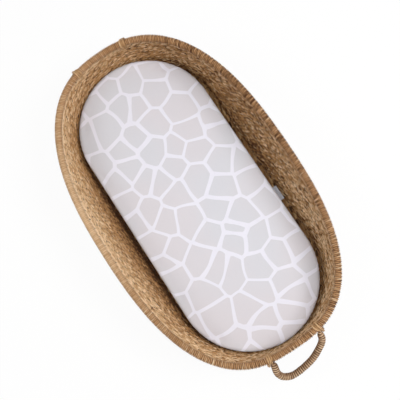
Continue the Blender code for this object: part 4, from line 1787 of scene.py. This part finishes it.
    def _hem(self) -> bpy.types.Object:
        """The gathered elastic hem round the opening."""
        radius = self.radius - self.turn_under - self.hem_inset
        ring = np.array(self._stadium(radius, self.low + self.hem_rise, self.hem_points))
        away, _, edge = self._around(ring)
        ripple = np.sin(2 * math.pi * edge / self.hem_ripple_length)
        path = ring + (self.hem_ripple * ripple)[:, None] * away
        upward = np.broadcast_to([0.0, 0.0, 1.0], path.shape)
        depth = self.hem_half_depth + 0.0001 * ripple
        hem = Strands("gathered_hem", 8, 81)
        hem.add(path, away, upward, self.hem_half_width, depth, 0.5, True)
        piece = hem.build(Tape("elastic", linear(228, 228, 232), 700.0).material("hem_elastic"))
        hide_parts("sheet_elastic")
        return piece

    def build(self) -> list[bpy.types.Object]:
        """Makes the mattress and returns its pieces."""
        sheet, cover, hem, tag = self._sheet(), self._cover(), self._hem(), Tag().build()
        for piece in (sheet, cover, hem, tag):
            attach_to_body(piece, "mattress")
        cover.name
        return [sheet, cover, hem, tag]


# Studio


@dataclass
class Studio:
    """The camera, the soft light and the pale ground."""

    camera_at: tuple[float, float, float] = (0.20372, 0.02024, 1.45767)
    right: tuple[float, float, float] = (0.54779, 0.83211, -0.08667)
    up: tuple[float, float, float] = (-0.82449, 0.55452, 0.11283)
    forward: tuple[float, float, float] = (-0.14195, -0.00965, -0.98983)
    half_view_deg: float = 18.0
    sensor: float = 36.0
    key_from: tuple[float, float] = (58.0, 58.5)
    key_distance: float = 2.4
    key_size: float = 1.0
    key_power: float = 25.0
    fill_from: tuple[float, float] = (-110.0, 60.0)
    fill_power: float = 9.0
    top_from: tuple[float, float] = (40.0, 84.0)
    top_size: float = 0.7
    top_power: float = 13.0
    sky: float = 0.39
    ground: Colour = (0.92, 0.92, 0.92, 1.0)
    ground_glow: float = 0.92
    ground_half: float = 4.0
    ground_gap: float = 0.0005

    def _camera(self) -> None:
        """Sets the camera at the photo's view."""
        data = bpy.data.cameras.new("camera")
        data.sensor_width = self.sensor
        data.lens = self.sensor / 2 / math.tan(math.radians(self.half_view_deg))
        camera = bpy.data.objects.new("camera", data)
        bpy.context.scene.collection.objects.link(camera)
        columns = [Vector(self.right), Vector(self.up), -Vector(self.forward)]
        turned = Matrix(columns).transposed().to_4x4()
        camera.matrix_world = Matrix.Translation(Vector(self.camera_at)) @ turned
        bpy.context.scene.camera = camera

    def _lamp(
        self, name: str, come_from: tuple[float, float], power: float, size: float
    ) -> None:
        """Adds a soft lamp.

        Args:
            name: Its name.
            come_from: Where its light comes from: the azimuth and the height, in degrees.
            power: Its power in watts.
            size: How wide it is.
        """
        azimuth, height = (math.radians(angle) for angle in come_from)
        level = math.cos(height)
        way = Vector((math.cos(azimuth) * level, math.sin(azimuth) * level, math.sin(height)))
        data = bpy.data.lights.new(name, "AREA")
        data.shape = "DISK"
        data.size = size
        data.energy = power
        lamp = bpy.data.objects.new(name, data)
        bpy.context.scene.collection.objects.link(lamp)
        lamp.location = way * self.key_distance
        lamp.rotation_euler = way.to_track_quat("Z", "Y").to_euler()

    def _world(self) -> None:
        """Lights the scene evenly, and shows white behind it."""
        world = bpy.data.worlds.new("studio")
        world.use_nodes = True
        bpy.context.scene.world = world
        tree = world.node_tree
        background = tree.nodes["Background"]
        background.inputs["Color"].default_value = WHITE
        path = tree.nodes.new("ShaderNodeLightPath")
        strength = tree.nodes.new("ShaderNodeMapRange")
        strength.inputs["To Min"].default_value = self.sky
        strength.inputs["To Max"].default_value = 1.0
        tree.links.new(path.outputs["Is Camera Ray"], strength.inputs["Value"])
        tree.links.new(strength.outputs["Result"], background.inputs["Strength"])

    def _ground(self) -> None:
        """Lays a pale ground that shows white, and keeps a trace of the shadow."""
        bm = bmesh.new()
        bmesh.ops.create_grid(bm, x_segments=2, y_segments=2, size=self.ground_half)
        ground = meshed("ground", bm)
        ground.location.z = -self.ground_gap
        shade = Shade("ground")
        shade.dress(Base_Color=self.ground, Roughness=0.9)
        seen = shade.node("ShaderNodeLightPath", {}, {}, "Is Camera Ray")
        glow = shade.node("ShaderNodeEmission", {}, {"Color": WHITE})
        lit = Value(shade, shade.shader.outputs[0])
        inputs = {0: seen * self.ground_glow, 1: lit, 2: glow}
        mixed = shade.node("ShaderNodeMixShader", {}, inputs)
        shade.tree.links.new(mixed.socket, shade.tree.nodes["Material Output"].inputs["Surface"])
        ground.data.materials.append(shade.material)

    def build(self) -> None:
        """Sets up the studio."""
        bpy.context.scene.view_settings.view_transform = "Standard"
        self._camera()
        self._lamp("key", self.key_from, self.key_power, self.key_size)
        self._lamp("fill", self.fill_from, self.fill_power, self.key_size)
        self._lamp("top", self.top_from, self.top_power, self.top_size)
        self._world()
        self._ground()


def report(pieces: list[bpy.types.Object]) -> None:
    """Logs each piece with its number of faces."""
    for piece in pieces:
        LOG.info("%s: %d faces", piece.name, len(piece.data.polygons))


def main() -> None:
    """Builds the studio, and dresses the basket piece by piece."""
    logging.basicConfig(level=logging.INFO, format="%(name)s %(message)s")
    Studio().build()
    report(WovenFloor().build())
    report(WovenWall().build())
    report(WoundRim().build())
    for end in End:
        report(RopeHandle(end).build())
        for side in (-1, 1):
            report(Lashing(end, side).build())
    report(Mattress().build())


if __name__ == "__main__":
    main()
